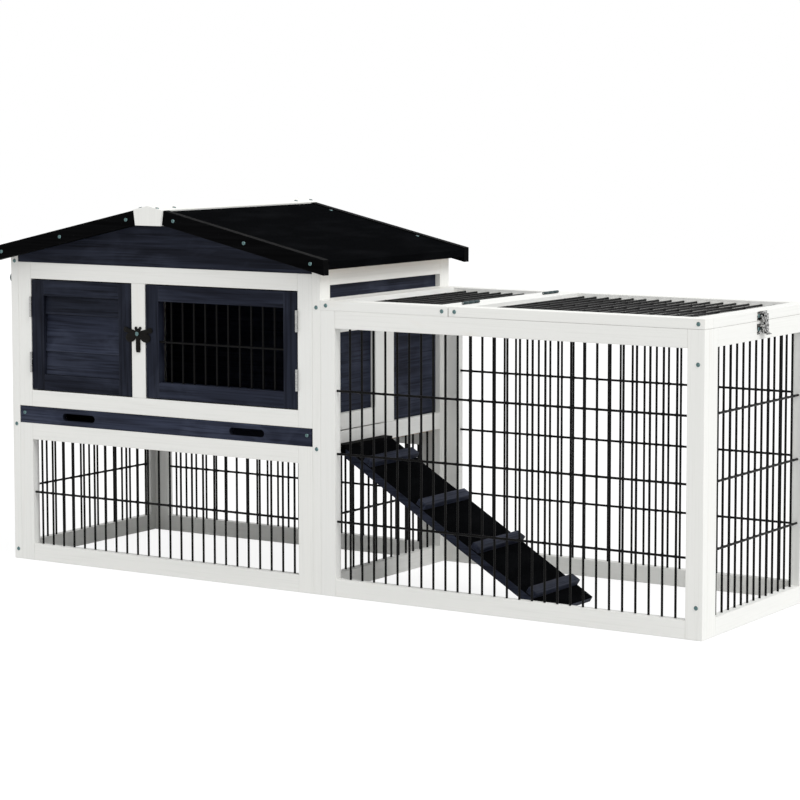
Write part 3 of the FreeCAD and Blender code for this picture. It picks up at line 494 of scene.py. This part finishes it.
# %% Joining boards
dice = np.random.default_rng(20)
APART = 7.0
TONE_RANGE = (0.25, 0.75)
BOARD_CREASE = 40.0


def stand_in(name, node, mesh):
    """Object at the origin that stands for a CAD node: same body, same material slot."""
    mesh.materials.append(finishes[node_slot[node]])
    piece = bpy.data.objects.new(name, mesh)
    scene.collection.objects.link(piece)
    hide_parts(node)
    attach(piece, node_body[node])
    return piece


def dress(name, node, points, faces):
    """Stand-in for a CAD node with a mesh of new points and faces."""
    mesh = bpy.data.meshes.new(name)
    mesh.from_pydata(points.tolist(), [], faces)
    return stand_in(name, node, mesh)


def counted_from(start, faces):
    """Faces whose points are counted from a new start."""
    return [[start + index for index in face] for face in faces]


def point_values(mesh, name):
    """One row for every point of a mesh: its place, co, or its normal."""
    values = np.empty(len(mesh.vertices) * 3)
    mesh.vertices.foreach_get(name, values)
    return values.reshape(-1, 3)


def set_attribute(mesh, name, kind, values):
    """Stores one value or vector for every point of a mesh."""
    layer = mesh.attributes.new(name, kind, "POINT")
    field = "vector" if kind == "FLOAT_VECTOR" else "value"
    layer.data.foreach_set(field, np.ascontiguousarray(values).ravel())


def smooth(mesh, degrees):
    """Shades a mesh smooth, except across edges sharper than an angle."""
    mesh.polygons.foreach_set("use_smooth", np.ones(len(mesh.polygons), bool))
    mesh.set_sharp_from_angle(angle=math.radians(degrees))


def timber(name, node, boards, tones=None):
    """Joins boards into the piece that stands for a node, with their grain, wear and shade. The shades are
    drawn at random unless each board's own tone is given."""
    points, faces, grains, wear, shades = [], [], [], [], []
    start = 0
    tones = dice.uniform(*TONE_RANGE, len(boards)) if tones is None else tones
    for (board_points, board_faces, grain, worn), tone in zip(boards, tones):
        points.append(board_points)
        faces += counted_from(start, board_faces)
        grains.append(grain + dice.uniform(-APART, APART, 3))
        wear.append(worn)
        shades.append(np.full(len(worn), tone))
        start += len(board_points)
    piece = dress(name, node, np.concatenate(points), faces)
    set_attribute(piece.data, "board", "FLOAT_VECTOR", np.concatenate(grains))
    set_attribute(piece.data, "worn", "FLOAT", np.concatenate(wear))
    set_attribute(piece.data, "shade", "FLOAT", np.concatenate(shades))
    smooth(piece.data, BOARD_CREASE)
    print(name, len(boards), "boards")


print("shades of boards are drawn between", *TONE_RANGE)


# %% [markdown]
# ## The mesh frames and the lid
#
# The den, the run and the lid are the same simple joinery: two stiles the full height of the frame, and
# two rails between them. Only the overall box of a node and the width of a member are needed to place all
# four. The front of the upper room has a centre stile as well, between the two doors.

# %% Frames
DOOR_MEMBER = 0.030
DOOR_GAP = 0.002
X, Y, Z = 0, 1, 2


def framed(node, across, up, edge=MEMBER, head=None):
    """Two full-height stiles and two rails between them, from a node's box; the head rail may be wider."""
    low, high = (np.array(corner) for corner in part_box(node))
    boards = []
    for axis, other, cut, high_edge in ((across, up, 0.0, edge), (up, across, edge, head or edge)):
        for side in (0, 1):
            start, end = low.copy(), high.copy()
            start[other] += cut
            end[other] -= cut
            if side == 0:
                end[axis] = low[axis] + edge
            else:
                start[axis] = high[axis] - high_edge
            boards.append(board(start, end))
    return boards


back_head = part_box("back_lower_frame")[1].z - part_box("back_lower_mesh")[1].z
timber("back_lower_timber", "back_lower_frame", framed("back_lower_frame", X, Z, head=back_head))
for node, across, up in (
    ("front_lower_frame", X, Z),
    ("back_upper_frame", X, Z),
    ("run_front_frame", X, Z),
    ("run_back_frame", X, Z),
    ("run_end_frame", Y, Z),
    ("run_fixed_top_frame", Y, X),
    ("lid_frame", Y, X),
):
    timber(node.replace("frame", "timber"), node, framed(node, across, up))

low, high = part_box("front_upper_frame")
stile_low = (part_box("left_door_frame")[1].x + DOOR_GAP, low.y, low.z + MEMBER)
stile_high = (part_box("right_door_frame")[0].x - DOOR_GAP, high.y, high.z - MEMBER)
room_front = framed("front_upper_frame", X, Z) + [board(stile_low, stile_high)]
timber("front_upper_timber", "front_upper_frame", room_front)

# %% [markdown]
# ## The side walls
#
# A side wall stands from the ground to the roof, and its stiles and top rail are cut to the slope. These
# three are drawn from the front as four-sided outlines and carried through their depth, while the level
# rails are plain boards. The right wall has a rail and a post more, around the little doorway into the
# run.

# %% Walls and their panels
PITCH = math.radians(12.57)
POST = 0.031


def wall(node, outer_is_left):
    """Stiles and top rail cut to the roof's slope, then the middle and bottom rails."""
    low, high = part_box(node)
    fall = (high.x - low.x) * math.tan(PITCH)
    left_top, right_top = (high.z - fall, high.z) if outer_is_left else (high.z, high.z - fall)
    panel_low, panel_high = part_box("left_wall_panel")
    boards = []
    for y_span, bottom, grain in (
        ((low.y, low.y + MEMBER), low.z, Z),
        ((high.y - MEMBER, high.y), low.z, Z),
        ((low.y + MEMBER, high.y - MEMBER), panel_high.z, Y),
    ):
        shape = [(low.x, bottom), (high.x, bottom), (high.x, right_top), (low.x, left_top)]
        boards.append(cut_board(shape, y_span, grain))
    rail_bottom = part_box("side_wall_meshes")[1].z
    for bottom, top in ((rail_bottom, panel_low.z), (low.z, low.z + MEMBER)):
        boards.append(board((low.x, low.y + MEMBER, bottom), (high.x, high.y - MEMBER, top)))
    return boards


timber("left_wall_timber", "left_wall_frame", wall("left_wall_frame", True))
low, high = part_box("right_wall_frame")
door_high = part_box("pop_door_frame")[1]
head = door_high.z + DOOR_GAP
post_y = (door_high.y + DOOR_GAP, door_high.y + DOOR_GAP + POST)
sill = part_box("left_wall_panel")[0].z
right_wall = wall("right_wall_frame", False)
right_wall.append(board((low.x, low.y + MEMBER, head), (high.x, high.y - MEMBER, head + MEMBER)))
right_wall.append(board((low.x, post_y[0], sill), (high.x, post_y[1], head)))
timber("right_wall_timber", "right_wall_frame", right_wall)

SIDE_TONES = (0.70, 0.58)
panel_low, panel_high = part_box("right_wall_panels")
strip = board((panel_low.x, panel_low.y, head + MEMBER), panel_high, Y)
side_panel = board((panel_low.x, post_y[1], panel_low.z), (panel_high.x, panel_high.y, head), Y)
timber("right_wall_boards", "right_wall_panels", [strip, side_panel], SIDE_TONES)
timber("left_wall_board", "left_wall_panel", [board(*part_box("left_wall_panel"), Y)])
timber("back_wall_board", "back_upper_panel", [board(*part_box("back_upper_panel"), X)])

# %% [markdown]
# ## The doors
#
# Both front doors and the pop door are small frames of the same joinery. The left door is filled with
# level planks, each of which leans out towards its lower edge, so that rain runs off and every lap throws
# a thin shadow. A bump map could fake the laps, but they show in outline from the side, so each plank is
# its own leaning section carried across.

# %% Doors
LEFT_DOOR_TONES = (0.04, 0.05, 0.32, 0.26)
RIGHT_DOOR_TONES = (0.22, 0.30, 0.52, 0.28)
for name, across, tones in (
    ("left_door", X, LEFT_DOOR_TONES),
    ("right_door", X, RIGHT_DOOR_TONES),
    ("pop_door", Y, None),
):
    timber(name + "_timber", name + "_frame", framed(name + "_frame", across, Z, DOOR_MEMBER), tones)
timber("pop_door_board", "pop_door_panel", [board(*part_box("pop_door_panel"), Y)])

PLANK_LAPS = (0.046, 0.0725)
PLANK_LEAN = 0.006
PLANK_FULL = 0.0725
PLANK_EASE = 0.0014
PLANK_TONES = (0.44, 0.70, 0.08)
low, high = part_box("left_door_planks")
laps = [low.z, low.z + PLANK_LAPS[0], low.z + sum(PLANK_LAPS), high.z]
planks = []
for bottom, top in zip(laps, laps[1:]):
    lean = PLANK_LEAN * (top - bottom) / PLANK_FULL
    section = [(low.y, bottom), (high.y, bottom), (high.y, top), (low.y + lean, top)]
    planks.append(carried(section, (Y, Z, X), (low.x, high.x), X, PLANK_EASE))
timber("left_door_lapped_planks", "left_door_planks", planks, PLANK_TONES)

# %% [markdown]
# ## Gables, roof boards, battens and ridge
#
# The roof is worked out from its own two directions: a distance down the slope, and a depth under the top
# line of the barge battens. One small function turns these into front-view points, and every layer is an
# outline of four or five of them carried through the depth. The battens run on under the keystone, which
# hides their square upper ends, and their lower ends are cut plumb.

# %% Roof timber
key_low, key_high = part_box("ridge_keystones")
cap_low, cap_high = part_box("ridge_cap")
batten_low, batten_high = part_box("barge_battens")
felt_low, felt_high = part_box("roof_felts")
CAP_TOP = -0.0009
BARGE_PROUD = 0.0023
FELT = 0.0025
ROOF_DEPTH = 0.018
BARGE_WIDTH = 0.0275
CAP_HALF = 0.034
KEY_FOOT_HALF = 0.030
ridge_x = (key_low.x + key_high.x) / 2
ridge_z = key_high.z + CAP_TOP / math.cos(PITCH)
slope_length = (felt_high.x - ridge_x) / math.cos(PITCH) + BARGE_PROUD * math.tan(PITCH)


def roof_point(along, below, side):
    """Front-view point: down one slope by a distance, and under the battens' top line by a depth."""
    x = ridge_x + side * (along * math.cos(PITCH) - below * math.sin(PITCH))
    return x, ridge_z - along * math.sin(PITCH) - below * math.cos(PITCH)


def layer(side, top, bottom, start, end, end_lean=0.0):
    """Outline of a layer of one slope: plumb at the ridge where it starts there; its lower end is square, or
    moves on by a tangent, end_lean, times the depth."""
    upper = [top * math.tan(PITCH), bottom * math.tan(PITCH)] if start == 0.0 else [start, start]
    lower = [end + top * end_lean, end + bottom * end_lean]
    outline = ((upper[0], top), (lower[0], top), (lower[1], bottom), (upper[1], bottom))
    return [roof_point(along, below, side) for along, below in outline]


GABLE_TONES = (0.25, 0.25)
gable_low, gable_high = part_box("gable_boards")
gable_edge = gable_high.z - (gable_high.x - ridge_x) * math.tan(PITCH)
gable = [(gable_low.x, gable_low.z), (gable_high.x, gable_low.z), (gable_high.x, gable_edge)]
gable += [(ridge_x, gable_high.z), (gable_low.x, gable_edge)]
gable_spans = ((gable_low.y, gable_low.y + THICK), (gable_high.y - THICK, gable_high.y))
timber("gable_timber", "gable_boards", [cut_board(gable, span, X) for span in gable_spans], GABLE_TONES)

for side, name in ((-1, "left_roof_board"), (1, "right_roof_board")):
    boarding = layer(side, BARGE_PROUD + FELT, ROOF_DEPTH, 0.0, slope_length)
    timber(name + "ing", name, [cut_board(boarding, (felt_low.y, felt_high.y), Y)])

BATTEN_HEAD = 0.012
barge_spans = ((batten_low.y, felt_low.y), (felt_high.y, batten_high.y))
battens = []
for span in barge_spans:
    for side in (-1, 1):
        shape = layer(side, 0.0, BARGE_WIDTH, BATTEN_HEAD, slope_length, math.tan(PITCH))
        battens.append(cut_board(shape, span, X))
timber("barge_timber", "barge_battens", battens)

CAP_EASE = 0.0005
CAP_MARGIN = 0.0008
shoulder = CAP_HALF / math.cos(PITCH) + CAP_TOP * math.tan(PITCH)
caps = []
for side in (-1, 1):
    shape = layer(side, CAP_TOP, BARGE_PROUD, 0.0, shoulder)
    caps.append(cut_board(shape, (cap_low.y, cap_high.y), Y, CAP_EASE, CAP_MARGIN))
timber("ridge_cap_boards", "ridge_cap", caps)

keystone = [(ridge_x, key_high.z), roof_point(shoulder, CAP_TOP, 1), (ridge_x + KEY_FOOT_HALF, key_low.z)]
keystone += [(ridge_x - KEY_FOOT_HALF, key_low.z), roof_point(shoulder, CAP_TOP, -1)]
key_spans = ((key_low.y, felt_low.y), (felt_high.y, key_high.y))
timber("ridge_keystone_blocks", "ridge_keystones", [cut_board(keystone, span, Z) for span in key_spans])

# %% [markdown]
# ## The roof felt
#
# Felt is rolled out over the boards, nailed under the ridge cap and turned down over the eave. It never
# lies quite flat. A flat slab with a bump map would show a ruled edge against the sky, so the felt is a
# strip profile, down the slope and round the eave, carried from the front to the back, with a shallow wave
# of under half a millimetre that dies out at the ridge and at both barge battens.

# %% Felt sheets
TURN_DOWN = 0.0135
SKIN = 0.0016
EAVE_RADIUS = 0.002
EAVE_POINTS = 6
FELT_LAP = 0.0001
SLOPE_POINTS = 90
FELT_ROWS = 70
WAVE = 0.00035
EDGE_FADE = 6
RIDGE_FADE = 12
RIDGE_FLAT = 0.03
FELT_CREASE = 50.0


def felt_sheet(side, y_values):
    """Closed strip: top line down the slope, quarter circle at the eave, a turn-down, and back inside. The
    wave is 0.35 mm sin(17u + 3v) sin(11v + 5u), faded to 0 at the ridge and the front and back edges."""
    along = np.linspace(BARGE_PROUD * math.tan(PITCH), slope_length, SLOPE_POINTS)
    bend = np.linspace(0.0, math.pi / 2, EAVE_POINTS)[1:]
    bend_along = slope_length + EAVE_RADIUS * np.sin(bend)
    bend_below = BARGE_PROUD + EAVE_RADIUS * (1 - np.cos(bend))
    foot = BARGE_PROUD + FELT + TURN_DOWN
    outer_along = np.concatenate([along, bend_along, [slope_length + EAVE_RADIUS]])
    outer_below = np.concatenate([np.full(SLOPE_POINTS, BARGE_PROUD), bend_below, [foot]])
    under = BARGE_PROUD + FELT - FELT_LAP
    inner_eave = slope_length + EAVE_RADIUS - SKIN
    inner_along = [inner_eave, inner_eave, under * math.tan(PITCH)]
    inner_below = [foot, under, under]
    u = np.concatenate([outer_along, inner_along])[None, :]
    below = np.concatenate([outer_below, inner_below])[None, :]
    v = y_values[:, None]
    middle = (y_values[0] + y_values[-1]) / 2
    half = (y_values[-1] - y_values[0]) / 2
    edge_fade = np.clip((1 - np.abs(v - middle) / half) * EDGE_FADE, 0, 1)
    ridge_fade = np.clip((u - RIDGE_FLAT) * RIDGE_FADE, 0, 1)
    on_top = (np.arange(u.shape[1]) < SLOPE_POINTS)[None, :]
    wave = WAVE * np.sin(17 * u + 3 * v) * np.sin(11 * v + 5 * u) * (edge_fade * ridge_fade) * on_top
    depth = below - wave
    x = ridge_x + side * (u * math.cos(PITCH) - depth * math.sin(PITCH))
    z = ridge_z - u * math.sin(PITCH) - depth * math.cos(PITCH)
    points = np.stack([x, np.broadcast_to(v, x.shape), z], -1)
    return points if side > 0 else points[:, ::-1]


rows = np.linspace(felt_low.y, felt_high.y, FELT_ROWS)
sheets = [felt_sheet(side, rows) for side in (-1, 1)]
felt_points = np.concatenate([sheet.reshape(-1, 3) for sheet in sheets])
one_sheet = ring_faces(len(rows), sheets[0].shape[1])
offset = sheets[0].shape[0] * sheets[0].shape[1]
felt_faces = one_sheet + counted_from(offset, one_sheet)
felt = dress("roof_felt_sheets", "roof_felts", felt_points, felt_faces)
smooth(felt.data, FELT_CREASE)
print("felt", len(felt_faces), "faces")

# %% [markdown]
# ## The ramp and the tray
#
# The ramp is a board with felt on top for grip and four cleats across it. Its foot is cut flat to stand on
# the ground and its head is cut plumb against the ledge on the wall. The tray behind its slotted front is
# a plain box of thin boards that slides on two runners.

# %% Ramp and ledge
RAMP_PITCH = math.radians(30.9)
RAMP_FELT = 0.0015
RAMP_THICK = 0.0165
RAMP_FOOT = 0.009
CLEAT_FIRST = 0.054
CLEAT_STEP = 0.134
CLEAT_WIDTH = 0.020
CLEAT_HEIGHT = 0.012
CLEATS = 4
CLEAT_EASE = 0.0016
GRIP_EASE = 0.0004
GRIP_MARGIN = 0.0002
felt_box_low, felt_box_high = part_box("ramp_felt")
head_x, head_z = felt_box_low.x, felt_box_high.z
ramp_span = (felt_box_low.y, felt_box_high.y)
ramp_length = (head_z - RAMP_FOOT) / math.sin(RAMP_PITCH)


def ramp_point(along, above):
    """Front-view point: down the ramp by a distance, and above its felt by a height."""
    x = head_x + along * math.cos(RAMP_PITCH) + above * math.sin(RAMP_PITCH)
    return x, head_z - along * math.sin(RAMP_PITCH) + above * math.cos(RAMP_PITCH)


felt_head = (head_x, head_z - RAMP_FELT / math.cos(RAMP_PITCH))
felt_foot = ramp_point(ramp_length, -RAMP_FELT)
board_head = (head_x, head_z - RAMP_THICK / math.cos(RAMP_PITCH))
toe = (ramp_point(ramp_length, -RAMP_FOOT / math.cos(RAMP_PITCH))[0], 0.0)
heel = (head_x + board_head[1] / math.tan(RAMP_PITCH), 0.0)
timber("ramp_timber", "ramp_board", [cut_board([felt_head, felt_foot, toe, heel, board_head], ramp_span, X)])
ramp_strip = [(head_x, head_z), ramp_point(ramp_length, 0.0), felt_foot, felt_head]
timber("ramp_grip", "ramp_felt", [cut_board(ramp_strip, ramp_span, X, GRIP_EASE, GRIP_MARGIN)])
cleats = []
for number in range(CLEATS):
    middle = CLEAT_FIRST + CLEAT_STEP * number
    near, far = middle - CLEAT_WIDTH / 2, middle + CLEAT_WIDTH / 2
    section = ((near, 0.0), (far, 0.0), (far, CLEAT_HEIGHT), (near, CLEAT_HEIGHT))
    shape = [ramp_point(along, above) for along, above in section]
    cleats.append(cut_board(shape, ramp_span, Y, CLEAT_EASE))
timber("ramp_cleat_bars", "ramp_cleats", cleats)
timber("ramp_ledge_bar", "ramp_ledge", [board(*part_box("ramp_ledge"))])

# %% Tray box and runners
low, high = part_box("tray_sides")
base_low, base_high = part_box("tray_floor")
tray_box = [
    board((low.x, low.y, low.z), (base_low.x, high.y, high.z)),
    board((base_high.x, low.y, low.z), (high.x, high.y, high.z)),
    board((base_low.x, base_high.y, low.z), (base_high.x, high.y, high.z)),
]
timber("tray_side_boards", "tray_sides", tray_box)
timber("tray_base_board", "tray_floor", [board(base_low, base_high)])
RUNNER = 0.016
low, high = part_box("tray_runners")
runners = [board(low, (low.x + RUNNER, high.y, high.z)), board((high.x - RUNNER, low.y, low.z), high)]
timber("tray_runner_battens", "tray_runners", runners)

# %% [markdown]
# ## Welded wire
#
# The bars are straight wires welded where they cross and coated afterwards. A plain cylinder misses the
# small swelling of each weld, which catches the light. Here a wire is a surface of two parameters, the
# distance along it and the angle round it, whose radius swells by a fifth at every crossing. All the wires
# of a panel that run the same way are worked out at once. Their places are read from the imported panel:
# triangles that share a corner belong to one wire.


# %% Reading the wires of a panel
MICRONS = 1e6


def solid_boxes(node):
    """Boxes of the separate solids of a node: every triangle passes on the lowest label among its corners
    until nothing changes, and then the lowest and highest corner is taken for each label."""
    mesh = frame["nodes"][node].data
    places = point_values(mesh, "co")
    corners = np.empty(len(mesh.loops), np.int64)
    mesh.loops.foreach_get("vertex_index", corners)
    _, merged = np.unique(np.round(places * MICRONS).astype(np.int64), axis=0, return_inverse=True)
    triangles = merged.reshape(-1)[corners].reshape(-1, 3)
    label = np.arange(merged.max() + 1)
    while True:
        lowest = np.repeat(label[triangles].min(1), 3)
        passed = label.copy()
        np.minimum.at(passed, triangles.ravel(), lowest)
        passed = passed[passed]
        if (passed == label).all():
            break
        label = passed
    names, group = np.unique(label[merged.reshape(-1)], return_inverse=True)
    low = np.full((len(names), 3), np.inf)
    high = np.full((len(names), 3), -np.inf)
    np.minimum.at(low, group.reshape(-1), places)
    np.maximum.at(high, group.reshape(-1), places)
    return low, high


print("front of the run:", len(solid_boxes("run_front_mesh")[0]), "wires")

# %% Wires with welds
SIDES = 14
WELD_SWELL = 0.20
WELD_LENGTH = 0.0022
WELD_RINGS = np.array([-2.0, -1.2, -0.6, 0.0, 0.6, 1.2, 2.0])
SAME_PANEL = 0.02
WIRE_CREASE = 60.0


def wires_along(axis, low, high, welds):
    """Tubes of radius R (1 + 0.2 sum exp(-((s - w) / 2.2 mm)^2)) with a weld at every w, for all wires at
    once."""
    p, q = (axis + 1) % 3, (axis + 2) % 3
    radius = (high[0, p] - low[0, p]) / 2
    near = WELD_RINGS * WELD_LENGTH
    ends = np.array([low[0, axis], high[0, axis]])
    s = np.unique(np.concatenate([ends, (welds[:, None] + near).ravel()]).clip(*ends))
    swell = np.exp(-(((s[:, None] - welds[None, :]) / WELD_LENGTH) ** 2)).sum(1)
    reach = radius * (1 + WELD_SWELL * swell)
    angle = np.arange(SIDES) * 2 * math.pi / SIDES
    middle = (low + high) / 2
    points = np.empty((len(low), len(s), SIDES, 3))
    points[..., p] = middle[:, None, None, p] + reach[None, :, None] * np.cos(angle)
    points[..., q] = middle[:, None, None, q] + reach[None, :, None] * np.sin(angle)
    points[..., axis] = s[None, :, None]
    return points, ring_faces(len(s), SIDES)


def wire_panel(node):
    """The wires of one panel, grouped by direction; each group's welds lie at the other group's places."""
    low, high = solid_boxes(node)
    axis = np.argmax(high - low, axis=1)
    middle = (low + high) / 2
    ways = np.unique(axis)
    through = X + Y + Z - int(ways.sum())
    points, faces, start = [], [], 0
    for way in ways:
        for edge in np.unique(np.round(middle[axis == way, through], 2)):
            in_panel = np.abs(middle[:, through] - edge) < SAME_PANEL
            chosen = (axis == way) & in_panel
            crossing = (axis != way) & in_panel
            welds = np.unique(np.round(middle[crossing, way], 5))
            tubes, tube_faces = wires_along(int(way), low[chosen], high[chosen], welds)
            for tube in tubes:
                points.append(tube.reshape(-1, 3))
                faces += counted_from(start, tube_faces)
                start += tube.shape[0] * tube.shape[1]
    piece = dress(node.replace("mesh", "wires"), node, np.concatenate(points), faces)
    smooth(piece.data, WIRE_CREASE)
    print(piece.name, len(low), "wires,", len(faces), "faces")


for node in sorted(node_body):
    if node_slot[node] == "black_wire":
        wire_panel(node)

# %% [markdown]
# ## Small metalwork and the tray front
#
# Hinges, screws, the lid latch and the slotted tray front already have the right shape in the packed
# model. Their mesh is left alone there, and a copy gets merged corners, smooth round faces and a narrow
# Bevel, because a real edge is never perfectly sharp and the light line along it is what makes metal look
# like metal. On the tray front the cut edges and the walls of the slots are painted darker than its face:
# painted shade in the slots and along the edges.


# %% Eased copies
MERGE = 0.000002
FLAT = math.radians(0.5)
SHARP = math.radians(50.0)
BEVEL_STEPS = 2
METAL_EASE = 0.00016
METAL_ENDINGS = ("_leaves", "_screws", "_screw")
METAL_NODES = ("hinge_pins", "wall_staple")
FACE_DEPTH = 0.00001
TRAY_TONE = 0.95


def eased_copy(node, width):
    """Copy of a node with merged corners and a Bevel of a given width on its sharp edges."""
    mesh = frame["nodes"][node].data.copy()
    mesh.materials.clear()
    piece = stand_in(node + "_eased", node, mesh)
    weld = piece.modifiers.new("merge", "WELD")
    weld.merge_threshold = MERGE
    flat = piece.modifiers.new("flat_faces", "DECIMATE")
    flat.decimate_type = "DISSOLVE"
    flat.angle_limit = FLAT
    bevel = piece.modifiers.new("ease", "BEVEL")
    bevel.width = width
    bevel.segments = BEVEL_STEPS
    bevel.limit_method = "ANGLE"
    bevel.angle_limit = SHARP
    graph = bpy.context.evaluated_depsgraph_get()
    shaped = bpy.data.meshes.new_from_object(piece.evaluated_get(graph))
    piece.modifiers.clear()
    piece.data = shaped
    shaped.name = node + "_eased"
    smooth(shaped, BOARD_CREASE)
    return piece


for node in sorted(node_body):
    if node.endswith(METAL_ENDINGS) or node.startswith("lid_latch") or node in METAL_NODES:
        piece = eased_copy(node, METAL_EASE)
        # Upward faces of the screws get painted shade, which dims the sky that they reflect.
        upwards = np.clip(point_values(piece.data, "normal")[:, Z], 0.0, 1.0)
        set_attribute(piece.data, "top_painted_shade", "FLOAT", upwards * node.endswith("_screws"))
        print(piece.name, len(piece.data.polygons), "faces")

tray_board = eased_copy("tray_front", EASE)
places = point_values(tray_board.data, "co")
# Only the front face keeps its tone; the slot walls and cut edges get shade 0, which is painted shade.
on_face = places[:, Y] < places[:, Y].min() + FACE_DEPTH
set_attribute(tray_board.data, "board", "FLOAT_VECTOR", places)
set_attribute(tray_board.data, "worn", "FLOAT", np.zeros(len(places)))
set_attribute(tray_board.data, "shade", "FLOAT", np.where(on_face, TRAY_TONE, 0.0))
print(tray_board.name, len(tray_board.data.polygons), "faces")

# %% [markdown]
# ## The butterfly turn latch
#
# The doors are held by a small cast turn button in the shape of a butterfly. It could be cut from a flat
# plate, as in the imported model, but a casting has a soft crown. In polar coordinates round its screw, its
# outline is the furthest reach of some leaning ovals, for the wings and feelers, and of a body with a long
# tail. The button is then a surface of an angle and a share of that reach, full in the middle and rounded
# down towards the rim.

# %% Outline of the turn latch
latch_low, latch_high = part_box("turn_latch")
screw_low, screw_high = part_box("turn_latch_screw")
pivot_x = (screw_low.x + screw_high.x) / 2
pivot_z = (screw_low.z + screw_high.z) / 2
wing_tip = np.array([0.0294, 0.0070])
WING_LEAN = math.atan2(wing_tip[1], wing_tip[0])
right_ovals = np.array([
    [wing_tip[0] / 2, wing_tip[1] / 2, np.linalg.norm(wing_tip) / 2, 0.0042, WING_LEAN],
    [wing_tip[0], wing_tip[1], 0.0053, 0.0053, 0.0],
    [0.0170, -0.0065, 0.0130, 0.0095, -math.radians(20.0)],
    [0.0051, 0.0104, 0.0030, 0.0030, 0.0],
])
latch_ovals = np.concatenate([right_ovals, right_ovals * [-1, 1, 1, 1, -1]])
TAIL_HALF = 0.0051
BODY_TOP = 0.0095
SQUARENESS = 12.0
RIM_POINTS = 720
LATCH_CREASE = 45.0


def oval_reach(angle):
    """Furthest point along a ray on each oval: in the oval's own leaning axes, the larger root of
    |(t d - c) / h|^2 = 1, or 0 where it is missed."""
    lean = latch_ovals[:, 4]
    first_axis = np.stack([np.cos(lean), np.sin(lean)], -1)
    second_axis = np.stack([-np.sin(lean), np.cos(lean)], -1)
    turn = np.stack([first_axis, second_axis], 1)
    ray = np.einsum("kij,nj->nki", turn, np.stack([np.cos(angle), np.sin(angle)], -1))
    middle = np.einsum("kij,kj->ki", turn, latch_ovals[:, :2])[None]
    half = latch_ovals[None, :, 2:4]
    a = ((ray / half) ** 2).sum(-1)
    b = (ray * middle / half ** 2).sum(-1)
    c = ((middle / half) ** 2).sum(-1) - 1.0
    inside = b ** 2 - a * c
    root = (b + np.sqrt(np.clip(inside, 0.0, None))) / a
    return np.where((inside >= 0) & (root > 0), root, 0.0).max(1)


def body_reach(angle, tail):
    """Reach of a nearly square-ended strip: (|cos| / w)^n + (|sin| / l)^n = r^-n, with l the body's or the
    tail's."""
    length = np.where(np.sin(angle) > 0, BODY_TOP, tail)
    across = np.abs(np.cos(angle)) / TAIL_HALF
    down = np.abs(np.sin(angle)) / length
    return (across ** SQUARENESS + down ** SQUARENESS) ** (-1.0 / SQUARENESS)


angle = np.linspace(0.0, 2 * math.pi, RIM_POINTS, endpoint=False)
rim = np.maximum(oval_reach(angle), body_reach(angle, pivot_z - latch_low.z))
print("turn latch reaches", round(1000 * rim.max(), 1), "mm from its screw")

# %% Turn latch
SHARE = np.array([0.08, 0.3, 0.5, 0.66, 0.78, 0.87, 0.94, 0.98, 1.0, 1.0, 0.985, 0.08])
CROWN = np.array([1.0, 1.0, 0.97, 0.93, 0.87, 0.79, 0.68, 0.55, 0.42, 0.12, 0.0, 0.0])
front, back = latch_low.y, latch_high.y
radius = SHARE[:, None] * rim[None, :]
latch_x = pivot_x + radius * np.cos(angle)[None, :]
latch_z = pivot_z + radius * np.sin(angle)[None, :]
latch_y = np.broadcast_to((back + (front - back) * CROWN)[:, None], latch_x.shape)
latch_points = np.stack([latch_x, latch_y, latch_z], -1)
latch_faces = ring_faces(len(SHARE), len(angle))
latch = dress("turn_latch_casting", "turn_latch", latch_points.reshape(-1, 3), latch_faces)
smooth(latch.data, LATCH_CREASE)
print("turn latch", round(1000 * (latch_x.max() - latch_x.min()), 1), "mm wide")
